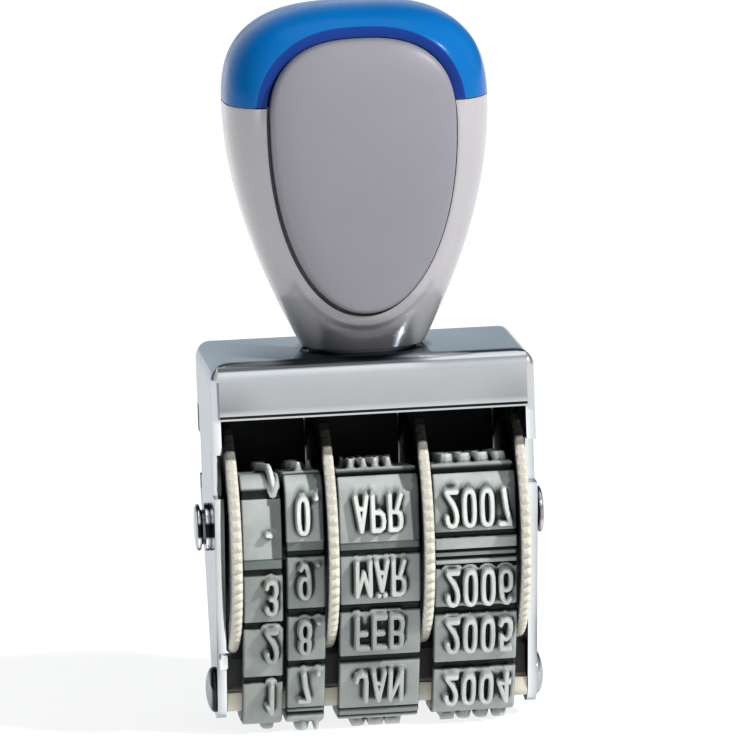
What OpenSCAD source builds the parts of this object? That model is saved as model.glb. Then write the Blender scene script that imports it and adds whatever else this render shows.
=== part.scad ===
// Hand date stamp: four endless type bands run over thumb wheels on a common
// axle and round a bridge bar at the printing line. The wheels, the bridge and
// the handle are carried by one bent sheet frame.
// Frame of the model: +Z up, +X to the right, front towards -Y. The origin is
// in the middle of the printing line, on the faces of the type.

/* [Frame] */
// Width over the outside of the frame's legs
frame_w = 28; // [27.5:0.1:28.5]
// Thickness of the frame's sheet
sheet_t = 0.8; // [0.6:0.1:0.8]
// Depth of the frame's top, front to back
top_d = 15; // [14:0.5:17]
// Height of the frame's top above the type faces
top_z = 33.5; // [33:0.1:34]
// Outside radius of the frame's bends
bend_r = 1.5; // [1.2:0.1:1.8]
// Height of the front apron, and of the rear one at its ends
apron_h = 4.9; // [4.2:0.1:5.2]
// Height of the rear apron between the outer wheels
rear_h = 13; // [12:0.1:13]
// Height of a notch in a leg's edge
notch_h = 3.8; // [3:0.1:4.2]
// Depth of a notch in a leg's edge
notch_d = 1.8; // [1:0.1:2.2]

/* [Wheels] */
// Height of the wheel axle above the type faces
axle_z = 18.15; // [17.9:0.05:18.4]
// Diameter of the wheel axle
axle_d = 3; // [2.6:0.1:3.2]
// Diameter of a thumb wheel over its ribs
wheel_d = 22.2; // [21.4:0.2:22.2]
// Number of ribs round a thumb wheel's rim
rib_count = 72; // [60:4:96]
// Depth of the ribs
rib_h = 0.3; // [0.2:0.05:0.4]
// Diameter of the drum under a band
drum_d = 6.4; // [6:0.1:6.8]

/* [Bands] */
// Thickness of a band between its type
band_t = 0.8; // [0.7:0.05:0.85]
// Height of the pads on a band
pad_h = 0.35; // [0.2:0.05:0.4]
// Height of the type over the band
type_h = 1.15; // [1.1:0.05:1.2]
// Number of type places round a band
place_count = 12; // [12:1:12]
// Height of a character
char_h = 3.8; // [3.2:0.1:3.9]

/* [Handle] */
// Height of the handle's highest point above the type faces
handle_top = 63.5; // [62:0.5:66]
// Greatest width of the handle
handle_w = 22.8; // [21:0.2:24]
// Greatest depth of the handle
handle_d = 16.6; // [15:0.2:18]
// Height of the joint between the handle's body and its cap
seam_z = 55.3; // [55:0.1:56]
// Wall of the handle's shells
wall = 1.6; // [1.2:0.1:2]
// Height of a handle panel over the handle's surface
panel_h = 0.7; // [0.6:0.05:1]

/* [Hidden] */
$fn = 64;
eps = 0.01;

half_w = frame_w / 2;
half_in = half_w - sheet_t;
leg_half = top_d / 2 - sheet_t - 0.1;
leg_full_z = 20.5;
rivet_z = 3.7;
leg_end_r = 2.5;
lug_z = 6.0;
neck_h = 0.25;

// Wheel stations along the axle: [disc start, disc end, drum start, drum end]
disc_t = 0.9;
tens_x  = [-13.0, -12.1, -12.1, -8.35];
units_x = [-4.65, -3.75, -8.25, -4.65];
month_x = [3.6, 4.5, -3.65, 3.6];
year_x  = [12.0, 12.85, 4.6, 12.0];

// Bands along the axle: [start, end]
tens_b  = [-11.92, -8.5];
units_b = [-8.1, -4.82];
month_b = [-3.55, 3.44];
year_b  = [4.68, 11.84];

// Inner line of a band. From the middle of the bridge it goes flat to the
// bridge's rounded edge, up and outwards, and round to the top of the drum. In
// front the band is slack and bulges up to a corner, from which it falls back
// to the drum; at the back it comes off the drum and bulges lower down. Each half is a row of pieces: [radius, turn]
// for an arc, [0, length] for a straight one.
loop_r = drum_d / 2 + 0.3;
nose_r = 0.8;
nose_y = 1.5;
nose_z = type_h + band_t + nose_r;
loop_top = axle_z + loop_r;
rise = loop_top - (nose_z - nose_r);

front_lean = 26;
front_run = 5;
front_tip = 1;
front_dip = 8;
corner_r = 0.7;
front_y = nose_y + nose_r * cos(front_lean) + front_run * sin(front_lean)
    - corner_r * (sin(front_dip) + cos(front_tip)) + loop_r * sin(front_dip);
front_z = axle_z + loop_r * cos(front_dip) - (nose_z - nose_r) - nose_r * (1 - sin(front_lean))
    - front_run * cos(front_lean) - corner_r * (cos(front_dip) - sin(front_tip));
front_c = cos(front_tip) - cos(front_lean);
front_r = (front_z + front_y * tan(front_dip)) / (sin(front_lean) + sin(front_tip) - front_c * tan(front_dip));
front_top = (front_y + front_r * front_c) / cos(front_dip);
front_half = [[0, nose_y], [nose_r, 90 - front_lean], [0, front_run], [front_r, front_lean + front_tip],
              [corner_r, 90 - front_tip + front_dip], [0, front_top]];

rear_lean = 56;
rear_run = 4;
rear_tip = 54;
rear_y = nose_y + nose_r * cos(rear_lean) + rear_run * sin(rear_lean) - loop_r * cos(rear_tip);
rear_z = rise - nose_r * (1 - sin(rear_lean)) - rear_run * cos(rear_lean) - loop_r * (1 - sin(rear_tip));
rear_det = (cos(rear_tip) - cos(rear_lean)) * cos(rear_tip) + sin(rear_tip) * (sin(rear_lean) + sin(rear_tip));
rear_r = (rear_z * sin(rear_tip) - rear_y * cos(rear_tip)) / rear_det;
rear_off = (rear_z - rear_r * (sin(rear_lean) + sin(rear_tip))) / cos(rear_tip);
rear_half = [[0, nose_y], [nose_r, 90 - rear_lean], [0, rear_run], [rear_r, rear_lean + rear_tip],
             [0, rear_off], [loop_r, 90 - rear_tip - front_dip]];

function seg_l(g) = g[0] == 0 ? g[1] : g[0] * g[1] * PI / 180;
function sum_l(h, i = 0) = i >= len(h) ? 0 : seg_l(h[i]) + sum_l(h, i + 1);
// State [y, z, turn] after a length d of the piece g, from the state p; y grows outwards
function step(p, g, d) = g[0] == 0
    ? [p[0] + d * cos(p[2]), p[1] + d * sin(p[2]), p[2]]
    : let (t = p[2] + d / g[0] * 180 / PI)
        [p[0] + g[0] * (sin(t) - sin(p[2])), p[1] + g[0] * (cos(p[2]) - cos(t)), t];
function walk(h, s, i, p) = i == len(h) - 1 || s <= seg_l(h[i])
    ? step(p, h[i], s) : walk(h, s - seg_l(h[i]), i + 1, step(p, h[i], seg_l(h[i])));
function start() = [0, nose_z - nose_r, 0];
front_l = sum_l(front_half);
rear_l = sum_l(rear_half);
loop_l = front_l + rear_l;
pitch = loop_l / place_count;
// How far the bands stand past the middle of the bridge, to the front
feed = 0.6;

// Place on the inner line at a length s from the middle of the bridge, to the
// front if positive: [y, z, turn], where turn is 0 facing down
function loop_at(s) = s >= 0
    ? let (p = walk(front_half, s, 0, start())) [-p[0], p[1], p[2]]
    : let (p = walk(rear_half, -s, 0, start())) [p[0], p[1], -p[2]];
function out_by(p, off) = [p[0] - off * sin(p[2]), p[1] - off * cos(p[2])];

// Closed line at a distance off outside the inner line, as [y, z] points: a
// piece gives its start, and an arc further points along it
function start_l(h, i) = i == 0 ? 0 : start_l(h, i - 1) + seg_l(h[i - 1]);
function half_s(h) = [for (i = [0 : len(h) - 1]) let (n = h[i][0] == 0 ? 1 : max(2, ceil(h[i][1] / 7)))
    for (j = [0 : n - 1]) start_l(h, i) + seg_l(h[i]) * j / n];
function loop_line(off) = let (f = half_s(front_half), r = half_s(rear_half)) concat(
    [for (v = f) out_by(loop_at(v), off)],
    [out_by(loop_at(front_l), off)],
    [for (i = [len(r) - 1 : -1 : 1]) out_by(loop_at(-r[i]), off)]);

// Extrudes a flat [y, z] shape along X from x0 to x1
module along_x(x0, x1) {
    translate([x0, 0, 0]) rotate([90, 0, 90]) linear_extrude(x1 - x0) children();
}

// Extrudes a flat [x, z] shape along Y, centred
module along_y(d) {
    translate([0, d / 2, 0]) rotate([90, 0, 0]) linear_extrude(d) children();
}

// Turned piece on a line along X: profile points are [radius, x]
module turned_x(p) {
    rotate([0, 90, 0]) rotate_extrude() polygon(p);
}

// Box with two rounded upper corners, as a flat shape
module arch(half, low, high, r) {
    translate([-half, low]) square([2 * half, high - r - low]);
    translate([-half + r, low]) square([2 * half - 2 * r, high - low]);
    for (s = [-1, 1]) translate([s * (half - r), high - r]) circle(r);
}

// ---------------------------------------------------------------- frame
module leg_side() {
    polygon([[-leg_half, top_z + 1], [-leg_half, leg_full_z], [-leg_end_r, rivet_z],
             [leg_end_r, rivet_z], [leg_half, leg_full_z], [leg_half, top_z + 1]]);
    translate([0, rivet_z]) circle(leg_end_r);
}

module frame() {
    color([0.80, 0.81, 0.83]) difference() {
        union() {
            // strip bent into the top and the two legs
            intersection() {
                along_y(2 * leg_half) difference() {
                    arch(half_w, 0.5, top_z, bend_r);
                    arch(half_in, 0, top_z - sheet_t, bend_r - sheet_t);
                }
                along_x(-half_w - 1, half_w + 1) leg_side();
            }
            // top with the aprons bent down in front and at the back
            intersection() {
                along_x(-half_w, half_w) difference() {
                    arch(top_d / 2, top_z - apron_h, top_z, bend_r);
                    arch(top_d / 2 - sheet_t, top_z - apron_h - 1, top_z - sheet_t, bend_r - sheet_t);
                }
                along_y(top_d + 2) arch(half_w - 0.5, top_z - apron_h - 1, top_z, bend_r);
            }
            // deeper middle of the rear apron
            translate([-11.9, top_d / 2 - sheet_t, top_z - rear_h]) cube([23.7, sheet_t, rear_h - apron_h + 1]);
            // lugs on the edges of the legs, left front and right rear
            for (a = [0, 180]) rotate([0, 0, a])
                translate([-half_in - 0.65, -3.75, lug_z]) cube([0.75, 1.4, 1.6]);
        }
        // slots in the rear apron for the two inner wheels
        for (p = [units_x, month_x])
            translate([p[0] - 0.2, top_d / 2 - sheet_t - 1, top_z - rear_h - 1]) cube([p[1] - p[0] + 0.4, 3, rear_h - 5.2]);
        // notches in the edges of the legs
        for (a = [0, 180], s = [-1, 1]) rotate([0, 0, a])
            translate([s * (half_w - sheet_t / 2) - 1, -leg_half - 1, axle_z + 3.6]) cube([2, notch_d + 1, notch_h]);
        // axle, rivet and screw holes
        for (s = [-1, 1]) {
            translate([s * half_w - 2, 0, axle_z]) rotate([0, 90, 0]) cylinder(r = axle_d / 2 + 0.03, h = 4);
            translate([s * half_w - 2, 0, rivet_z]) rotate([0, 90, 0]) cylinder(r = 0.93, h = 4);
        }
        translate([0, 0, top_z - 2]) cylinder(r = 1.3, h = 4);
    }
}

// ---------------------------------------------------------------- handle
round_n = 64;
widest_z = 54.5;
top_rise = handle_top - widest_z;
foot_z = top_z + neck_h;
side_n = 3;
fall = 20.35;

// Share of the greatest width left at height z on the lower part
function taper(z, keep) = 1 - (1 - keep) * pow(max(widest_z - z, 0) / fall, 1.81);
function half_width(z) = handle_w / 2 * taper(z, 0.49);
function half_depth(z) = handle_d / 2 * taper(z, 0.55);
function sgn_pow(v, n) = v < 0 ? -pow(-v, n) : pow(v, n);
// Ring of points: rounded-oblong section with half sizes a and b at height z
function ring(a, b, z) = [for (i = [0 : round_n - 1]) let (t = 360 * i / round_n)
    [a * sgn_pow(cos(t), 2 / side_n), b * sgn_pow(sin(t), 2 / side_n), z]];
// Dome ring: t runs from 0 at the widest height to 90 at the top
function dome(t, off) = let (u = pow(sin(t), 2 / 2.8), r = pow(cos(t), 2 / 2.8))
    ring((handle_w / 2 - off) * r, (handle_d / 2 - off) * r, widest_z + (top_rise - off) * u);
// Angle t on the dome that lies at height z
function dome_t(z, off) = asin(pow((z - widest_z) / (top_rise - off), 2.8 / 2));

// Quads between consecutive rings, split into triangles; wrap closes the last to the first
function skin(m, wrap) = [for (j = [0 : m - (wrap ? 1 : 2)], i = [0 : round_n - 1], k = [0, 1])
    let (i2 = (i + 1) % round_n, j2 = (j + 1) % m,
         a = j * round_n + i, b = j * round_n + i2, c = j2 * round_n + i2, d = j2 * round_n + i)
    k == 0 ? [a, c, b] : [a, d, c]];

module handle_body() {
    rings = concat(
        [for (i = [0 : 12]) let (z = foot_z + (widest_z - foot_z) * i / 12) ring(half_width(z), half_depth(z), z)],
        [dome(dome_t(seam_z, 0), 0)],
        [ring(handle_w / 2 - wall, handle_d / 2 - wall, seam_z)],
        [for (i = [0 : 7]) let (z = widest_z - 1 - (widest_z - 1 - foot_z - 3) * i / 7)
            ring(half_width(z) - wall, half_depth(z) - wall, z)],
        [[for (i = [0 : round_n - 1]) [3.1 * cos(360 * i / round_n), 3.1 * sin(360 * i / round_n), foot_z + 3]]],
        [[for (i = [0 : round_n - 1]) [3.1 * cos(360 * i / round_n), 3.1 * sin(360 * i / round_n), foot_z]]]);
    color([0.66, 0.65, 0.68])
        polyhedron([for (r = rings) for (p = r) p], skin(len(rings), true));
}

module handle_cap() {
    t0 = dome_t(seam_z, 0);
    rings = concat(
        [[for (p = ring(0.6, 0.45, handle_top - wall)) p]],
        [for (i = [6 : -1 : 1]) dome(84 * i / 6, wall)],
        [ring(handle_w / 2 - wall, handle_d / 2 - wall, seam_z)],
        [for (i = [0 : 10]) dome(t0 + (86 - t0) * i / 10, 0)],
        [[for (p = ring(0.8, 0.6, handle_top)) p]]);
    m = len(rings);
    color([0.10, 0.33, 0.72])
        polyhedron([for (r = rings) for (p = r) p],
            concat(skin(m, false),
                [[for (i = [0 : round_n - 1]) i],
                 [for (i = [round_n - 1 : -1 : 0]) (m - 1) * round_n + i]]));
}

// Panel: an egg-shaped plate that follows the handle's surface
panel_mid = 53.5;
panel_up = 7.4;
panel_down = 16.5;
panel_half = 8.0;
panel_n = 64;
panel_hub = 50;
function egg(t) = let (c = cos(t), s = sin(t))
    s >= 0 ? [panel_half * sgn_pow(c, 2 / 2.6), panel_mid + panel_up * pow(s, 2 / 2.6)]
           : [panel_half * sgn_pow(c, 2 / 2.1), panel_mid - panel_down * pow(-s, 2 / 2.1)];
// Depth of the handle's surface at [x, z]
function surf_a(z) = z > widest_z ? handle_w / 2 * pow(1 - pow((z - widest_z) / top_rise, 2.8), 1 / 2.8) : half_width(z);
function surf_b(z) = z > widest_z ? handle_d / 2 * pow(1 - pow((z - widest_z) / top_rise, 2.8), 1 / 2.8) : half_depth(z);
function surf(x, z) = surf_b(z) * pow(1 - pow(abs(x) / surf_a(z), side_n), 1 / side_n);
function panel_pt(t, q, up) = let (e = egg(t), x = e[0] * q, z = panel_hub + (e[1] - panel_hub) * q)
    [x, -surf(x, z) - up, z];

module panel() {
    base = 0.2;
    low = [for (q = [0.25, 0.5, 0.7, 0.82, 0.92, 1]) [for (i = [0 : panel_n - 1]) panel_pt(360 * i / panel_n, q, base)]];
    edge = [[for (i = [0 : panel_n - 1]) panel_pt(360 * i / panel_n, 1, base + (panel_h - base) * 0.5)]];
    high = [for (q = [0.965, 0.92, 0.82, 0.7, 0.5, 0.25]) [for (i = [0 : panel_n - 1]) panel_pt(360 * i / panel_n, q, panel_h)]];
    rings = concat(low, edge, high);
    m = len(rings);
    n0 = m * panel_n;
    polyhedron(concat([for (r = rings) for (p = r) p],
                      [[0, -surf(0, panel_hub) - base, panel_hub], [0, -surf(0, panel_hub) - panel_h, panel_hub]]),
        concat(skin(m, false),
            [for (i = [0 : panel_n - 1]) [n0, i, (i + 1) % panel_n]],
            [for (i = [0 : panel_n - 1]) [n0 + 1, (m - 1) * panel_n + (i + 1) % panel_n, (m - 1) * panel_n + i]]));
}

module front_panel() {
    color([0.62, 0.61, 0.66]) panel();
}

module rear_panel() {
    color([0.62, 0.61, 0.66]) rotate([0, 0, 180]) panel();
}

module handle_neck() {
    color([0.16, 0.16, 0.18]) translate([0, 0, top_z]) rotate_extrude()
        polygon([[1.3, 0], [4.7, 0], [4.7, neck_h], [3, neck_h], [3, 9], [2.6, 9.4], [1.3, 9.4]]);
}

module handle_nut() {
    color([0.72, 0.73, 0.74]) difference() {
        translate([0, 0, top_z + 9.4]) cylinder(d = 5.6, h = 1.9, $fn = 6);
        translate([0, 0, top_z + 9]) cylinder(r = 1.25, h = 4);
    }
}

module handle_screw() {
    color([0.72, 0.73, 0.74]) difference() {
        translate([0, 0, top_z - sheet_t - 0.35]) rotate_extrude()
            polygon([[0, 12.5], [0.9, 12.5], [1.22, 12.2], [1.22, 0], [2.4, 0], [2.4, -0.8], [1.8, -1.3], [0, -1.3]]);
        translate([-0.3, -3, top_z - sheet_t - 2.2]) cube([0.6, 6, 1.2]);
    }
}

module screw_washer() {
    color([0.72, 0.73, 0.74]) difference() {
        translate([0, 0, top_z - sheet_t - 0.35]) cylinder(r = 3, h = 0.35);
        translate([0, 0, top_z - sheet_t - 1]) cylinder(r = 1.3, h = 2);
    }
}

// ---------------------------------------------------------------- axle and wheels
module wheel_axle() {
    a = axle_d / 2;
    h = 2.05;
    e = half_w + 1.2;
    color([0.78, 0.79, 0.80]) translate([0, 0, axle_z]) turned_x([
        [0, -e], [h - 0.2, -e], [h, -e + 0.15], [h, -e + 0.45], [a, -e + 0.45],
        [a, e - 0.45], [h, e - 0.45], [h, e - 0.15], [h - 0.2, e], [0, e]]);
}

module axle_washers() {
    color([0.78, 0.79, 0.80]) for (s = [-1, 1]) translate([0, 0, axle_z]) difference() {
        translate([s > 0 ? half_w : -half_w - 0.4, 0, 0]) rotate([0, 90, 0]) cylinder(r = 2.1, h = 0.4);
        translate([s * (half_w + 0.2) - 1, 0, 0]) rotate([0, 90, 0]) cylinder(r = axle_d / 2 + 0.04, h = 2);
    }
}

module spring_washer() {
    color([0.72, 0.73, 0.74]) translate([0, 0, axle_z]) difference() {
        translate([12.9, 0, 0]) rotate([0, 90, 0]) cylinder(r = 3.4, h = 0.25);
        translate([12, 0, 0]) rotate([0, 90, 0]) cylinder(r = axle_d / 2 + 0.05, h = 2);
    }
}

module thumb_wheel(p) {
    r = wheel_d / 2;
    color([0.90, 0.88, 0.78]) translate([0, 0, axle_z]) difference() {
        union() {
            along_x(p[0], p[1]) polygon([for (i = [0 : 2 * rib_count - 1])
                let (a = 180 * i / rib_count, q = i % 2 == 0 ? r : r - rib_h) [q * cos(a), q * sin(a)]]);
            translate([min(p[2], p[0]), 0, 0]) rotate([0, 90, 0])
                cylinder(d = drum_d, h = max(p[3], p[1]) - min(p[2], p[0]));
        }
        translate([min(p[2], p[0]) - 1, 0, 0]) rotate([0, 90, 0])
            cylinder(r = axle_d / 2 + 0.06, h = max(p[3], p[1]) - min(p[2], p[0]) + 2);
    }
}

module day_tens_wheel() { thumb_wheel(tens_x); }
module day_units_wheel() { thumb_wheel(units_x); }
module month_wheel() { thumb_wheel(month_x); }
module year_wheel() { thumb_wheel(year_x); }

// ---------------------------------------------------------------- bands
// Place k of a band, flat in [y, z]: the type faces down
module place(k) {
    d = feed + k * pitch;
    p = loop_at(d > front_l ? d - loop_l : d);
    translate([p[0], p[1]]) rotate(-p[2]) children();
}

module band(b, chars) {
    w = b[1] - b[0];
    step = (w - 0.3) / chars;
    color([0.58, 0.61, 0.58]) union() {
        along_x(b[0], b[1]) union() {
            difference() {
                polygon(loop_line(band_t));
                polygon(loop_line(0));
            }
            for (k = [0 : place_count - 1]) place(k)
                translate([-pitch / 2 + 0.3, -band_t - pad_h]) square([pitch - 0.6, pad_h + 0.3]);
        }
        for (c = [0 : chars - 1]) let (x = (b[0] + b[1]) / 2 + (c - (chars - 1) / 2) * step)
            along_x(x - step * 0.42, x + step * 0.42)
                for (k = [0 : place_count - 1]) place(k)
                    translate([-char_h / 2, -band_t - type_h]) square([char_h, type_h + 0.2]);
    }
}

module day_tens_band() { band(tens_b, 1); }
module day_units_band() { band(units_b, 1); }
module month_band() { band(month_b, 3); }
module year_band() { band(year_b, 4); }

// ---------------------------------------------------------------- bridge
module bridge() {
    f = nose_y - 0.03;
    z0 = nose_z - nose_r + 0.03;
    color([0.88, 0.86, 0.76]) difference() {
        along_x(-half_in + 0.05, half_in - 0.05) union() {
            translate([-f, z0]) square([2 * f, 2]);
            for (s = [-1, 1]) translate([s * f, z0 + nose_r - 0.05]) circle(nose_r - 0.05);
            translate([-f - nose_r + 0.05, z0 + nose_r - 0.05]) square([2 * (f + nose_r - 0.05), 1]);
            translate([-1.35, z0 + 1]) square([2.7, 3.6]);
        }
        for (s = [-1, 1]) translate([s * (half_in - 2), 0, rivet_z]) rotate([0, 90, 0])
            translate([0, 0, -2.5]) cylinder(r = 0.93, h = 5);
    }
}

module bridge_rivets() {
    x = half_w;
    color([0.78, 0.79, 0.80]) for (a = [0, 180]) rotate([0, 0, a]) translate([0, 0, rivet_z])
        turned_x([[0, x - 4.5], [0.9, x - 4.5], [0.9, x], [2, x], [1.95, x + 0.25], [1.6, x + 0.55], [1, x + 0.75], [0, x + 0.82]]);
}

frame();
handle_body();
handle_cap();
front_panel();
rear_panel();
handle_neck();
handle_screw();
handle_nut();
screw_washer();
wheel_axle();
axle_washers();
spring_washer();
day_tens_wheel();
day_units_wheel();
month_wheel();
year_wheel();
day_tens_band();
day_units_band();
month_band();
year_band();
bridge();
bridge_rivets();
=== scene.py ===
import math

import bmesh
import bpy
import numpy as np
from mathutils import Matrix, Vector


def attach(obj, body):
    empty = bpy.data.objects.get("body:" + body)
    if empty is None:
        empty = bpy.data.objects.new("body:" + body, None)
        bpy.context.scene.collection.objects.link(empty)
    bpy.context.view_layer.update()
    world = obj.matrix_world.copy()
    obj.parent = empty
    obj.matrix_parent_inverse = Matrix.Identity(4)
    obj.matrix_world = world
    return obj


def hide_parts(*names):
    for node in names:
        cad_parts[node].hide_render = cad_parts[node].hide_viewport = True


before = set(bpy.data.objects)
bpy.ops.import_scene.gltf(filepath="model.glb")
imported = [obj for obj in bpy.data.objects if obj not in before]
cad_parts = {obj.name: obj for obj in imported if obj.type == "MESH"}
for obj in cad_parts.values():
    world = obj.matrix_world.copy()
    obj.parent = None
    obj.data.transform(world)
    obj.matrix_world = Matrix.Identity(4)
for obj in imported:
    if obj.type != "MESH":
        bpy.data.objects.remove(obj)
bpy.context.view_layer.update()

MM = 0.001
scene = bpy.context.scene

# ------------------------------------------------------------------ camera
AZ, EL, ROLL = math.radians(6.18), math.radians(9.34), math.radians(2.02)
DIST, FOCAL_PX = 619.9, 7140.5
back = Vector((-math.sin(AZ) * math.cos(EL), -math.cos(AZ) * math.cos(EL), math.sin(EL)))
target = Vector((0.4, 0.0, 31.36))
cam_right = (-back).cross(Vector((0, 0, 1))).normalized()
cam_up = cam_right.cross(-back)
cr, sr = math.cos(ROLL), math.sin(ROLL)
axis_x = cam_right * cr - cam_up * sr
axis_y = cam_right * sr + cam_up * cr
cam_data = bpy.data.cameras.new("camera")
cam_data.sensor_width = 36.0
cam_data.lens = FOCAL_PX / 736.0 * 36.0
cam_data.clip_start = 0.01
cam_data.clip_end = 20.0
cam = bpy.data.objects.new("camera", cam_data)
scene.collection.objects.link(cam)
rot = Matrix((axis_x, axis_y, back)).transposed().to_4x4()
cam.matrix_world = Matrix.Translation((target + back * DIST) * MM) @ rot
scene.camera = cam
scene.view_settings.view_transform = "Standard"
scene.view_settings.look = "None"


# ------------------------------------------------------------------ helpers
def add_object(name, verts, faces, smooth=True, sharp=None):
    """New object from points in millimetres."""
    mesh = bpy.data.meshes.new(name)
    mesh.from_pydata([tuple(v) for v in (np.asarray(verts, float) * MM)], [], [tuple(int(i) for i in f) for f in faces])
    mesh.validate()
    mesh.update()
    if smooth:
        mesh.polygons.foreach_set("use_smooth", np.ones(len(mesh.polygons), dtype=bool))
    if sharp is not None:
        mesh.set_sharp_from_angle(angle=math.radians(sharp))
    obj = bpy.data.objects.new(name, mesh)
    scene.collection.objects.link(obj)
    return obj


def apply_modifiers(obj):
    dg = bpy.context.evaluated_depsgraph_get()
    new = bpy.data.meshes.new_from_object(obj.evaluated_get(dg))
    obj.modifiers.clear()
    old = obj.data
    obj.data = new
    bpy.data.meshes.remove(old)


def bevel(obj, width, segments=2, angle=40):
    m = obj.modifiers.new("edge", "BEVEL")
    m.width = width * MM
    m.segments = segments
    m.limit_method = "ANGLE"
    m.angle_limit = math.radians(angle)
    m.use_clamp_overlap = True
    return m


def join_meshes(parts):
    """Lists of (verts, faces) as one."""
    verts, faces, n = [], [], 0
    for v, f in parts:
        verts += [tuple(p) for p in v]
        faces += [tuple(i + n for i in q) for q in f]
        n += len(v)
    return verts, faces


def loft(rings, close_ring=True, cap_start=False, cap_end=False, wrap=False):
    n = len(rings[0])
    verts = [p for r in rings for p in r]
    faces = []
    m = len(rings)
    for j in range(m if wrap else m - 1):
        a, b = j * n, ((j + 1) % m) * n
        for i in range(n if close_ring else n - 1):
            i2 = (i + 1) % n
            faces.append((a + i, a + i2, b + i2, b + i))
    if cap_start:
        faces.append(tuple(range(n - 1, -1, -1)))
    if cap_end:
        faces.append(tuple((m - 1) * n + i for i in range(n)))
    return verts, faces


def turned_x(profile, seg=96, cx=0.0, cz=0.0):
    """Turned solid about an axis along X: profile of (x, r), from and to r = 0."""
    rings = []
    for x, r in profile:
        rings.append([(x + cx, r * math.cos(2 * math.pi * i / seg), cz + r * math.sin(2 * math.pi * i / seg)) for i in range(seg)])
    return loft(rings, cap_start=True, cap_end=True)


def clean(obj, dist=0.0005, sharp=None):
    bm = bmesh.new()
    bm.from_mesh(obj.data)
    bmesh.ops.remove_doubles(bm, verts=bm.verts, dist=dist * MM)
    bmesh.ops.dissolve_degenerate(bm, edges=bm.edges, dist=dist * MM)
    bmesh.ops.recalc_face_normals(bm, faces=bm.faces)
    bm.to_mesh(obj.data)
    bm.free()
    obj.data.polygons.foreach_set("use_smooth", np.ones(len(obj.data.polygons), dtype=bool))
    if sharp is not None:
        obj.data.set_sharp_from_angle(angle=math.radians(sharp))


# ------------------------------------------------------------------ materials
def new_material(name):
    mat = bpy.data.materials.new(name)
    mat.use_nodes = True
    nt = mat.node_tree
    bsdf = nt.nodes["Principled BSDF"]
    coord = nt.nodes.new("ShaderNodeTexCoord")
    return mat, nt, bsdf, coord


def noise(nt, coord, scale, detail=3.0, rough=0.5, stretch=None):
    n = nt.nodes.new("ShaderNodeTexNoise")
    n.inputs["Scale"].default_value = scale
    n.inputs["Detail"].default_value = detail
    n.inputs["Roughness"].default_value = rough
    src = coord.outputs["Object"]
    if stretch:
        mp = nt.nodes.new("ShaderNodeMapping")
        mp.inputs["Scale"].default_value = stretch
        nt.links.new(src, mp.inputs["Vector"])
        src = mp.outputs["Vector"]
    nt.links.new(src, n.inputs["Vector"])
    return n


def ramp(nt, fac, stops):
    r = nt.nodes.new("ShaderNodeValToRGB")
    e = r.color_ramp.elements
    e[0].position, e[0].color = stops[0][0], (*stops[0][1], 1)
    e[1].position, e[1].color = stops[-1][0], (*stops[-1][1], 1)
    for p, c in stops[1:-1]:
        s = e.new(p)
        s.color = (*c, 1)
    nt.links.new(fac, r.inputs["Fac"])
    return r


def map_range(nt, fac, lo, hi, a=0.0, b=1.0):
    m = nt.nodes.new("ShaderNodeMapRange")
    m.inputs["From Min"].default_value = a
    m.inputs["From Max"].default_value = b
    m.inputs["To Min"].default_value = lo
    m.inputs["To Max"].default_value = hi
    nt.links.new(fac, m.inputs["Value"])
    return m


def add_bump(nt, bsdf, height, strength, dist):
    b = nt.nodes.new("ShaderNodeBump")
    b.inputs["Strength"].default_value = strength
    b.inputs["Distance"].default_value = dist * MM
    nt.links.new(height, b.inputs["Height"])
    nt.links.new(b.outputs["Normal"], bsdf.inputs["Normal"])
    return b


def plastic(name, low, high, rough, grain, coat=0.0, sss=0.0, blotch=90.0, grain_scale=9000.0, spec=0.5):
    mat, nt, bsdf, coord = new_material(name)
    cloud = noise(nt, coord, blotch, 4.0, 0.6)
    col = ramp(nt, cloud.outputs["Fac"], [(0.3, low), (0.7, high)])
    nt.links.new(col.outputs["Color"], bsdf.inputs["Base Color"])
    wear = noise(nt, coord, blotch * 6, 3.0, 0.6)
    r = map_range(nt, wear.outputs["Fac"], rough - 0.05, rough + 0.07, 0.3, 0.7)
    nt.links.new(r.outputs["Result"], bsdf.inputs["Roughness"])
    fine = noise(nt, coord, grain_scale, 2.0, 0.5)
    add_bump(nt, bsdf, fine.outputs["Fac"], 0.35, grain)
    bsdf.inputs["IOR"].default_value = 1.49
    bsdf.inputs["Specular IOR Level"].default_value = spec
    if coat:
        bsdf.inputs["Coat Weight"].default_value = coat
        bsdf.inputs["Coat Roughness"].default_value = 0.08
    if sss:
        bsdf.inputs["Subsurface Weight"].default_value = sss
        bsdf.inputs["Subsurface Radius"].default_value = (0.0012, 0.0009, 0.0006)
        bsdf.inputs["Subsurface Scale"].default_value = 0.4
    return mat


def metal(name, low, high, rough, brush, stretch):
    mat, nt, bsdf, coord = new_material(name)
    bsdf.inputs["Metallic"].default_value = 1.0
    bsdf.inputs["Specular Tint"].default_value = (0.62, 0.65, 0.70, 1.0)
    cloud = noise(nt, coord, 140.0, 3.0, 0.6)
    col = ramp(nt, cloud.outputs["Fac"], [(0.3, low), (0.7, high)])
    nt.links.new(col.outputs["Color"], bsdf.inputs["Base Color"])
    lines = noise(nt, coord, 900.0, 4.0, 0.65, stretch)
    r = map_range(nt, lines.outputs["Fac"], rough, rough + 0.10, 0.35, 0.75)
    nt.links.new(r.outputs["Result"], bsdf.inputs["Roughness"])
    add_bump(nt, bsdf, lines.outputs["Fac"], 0.12, brush)
    return mat


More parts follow.
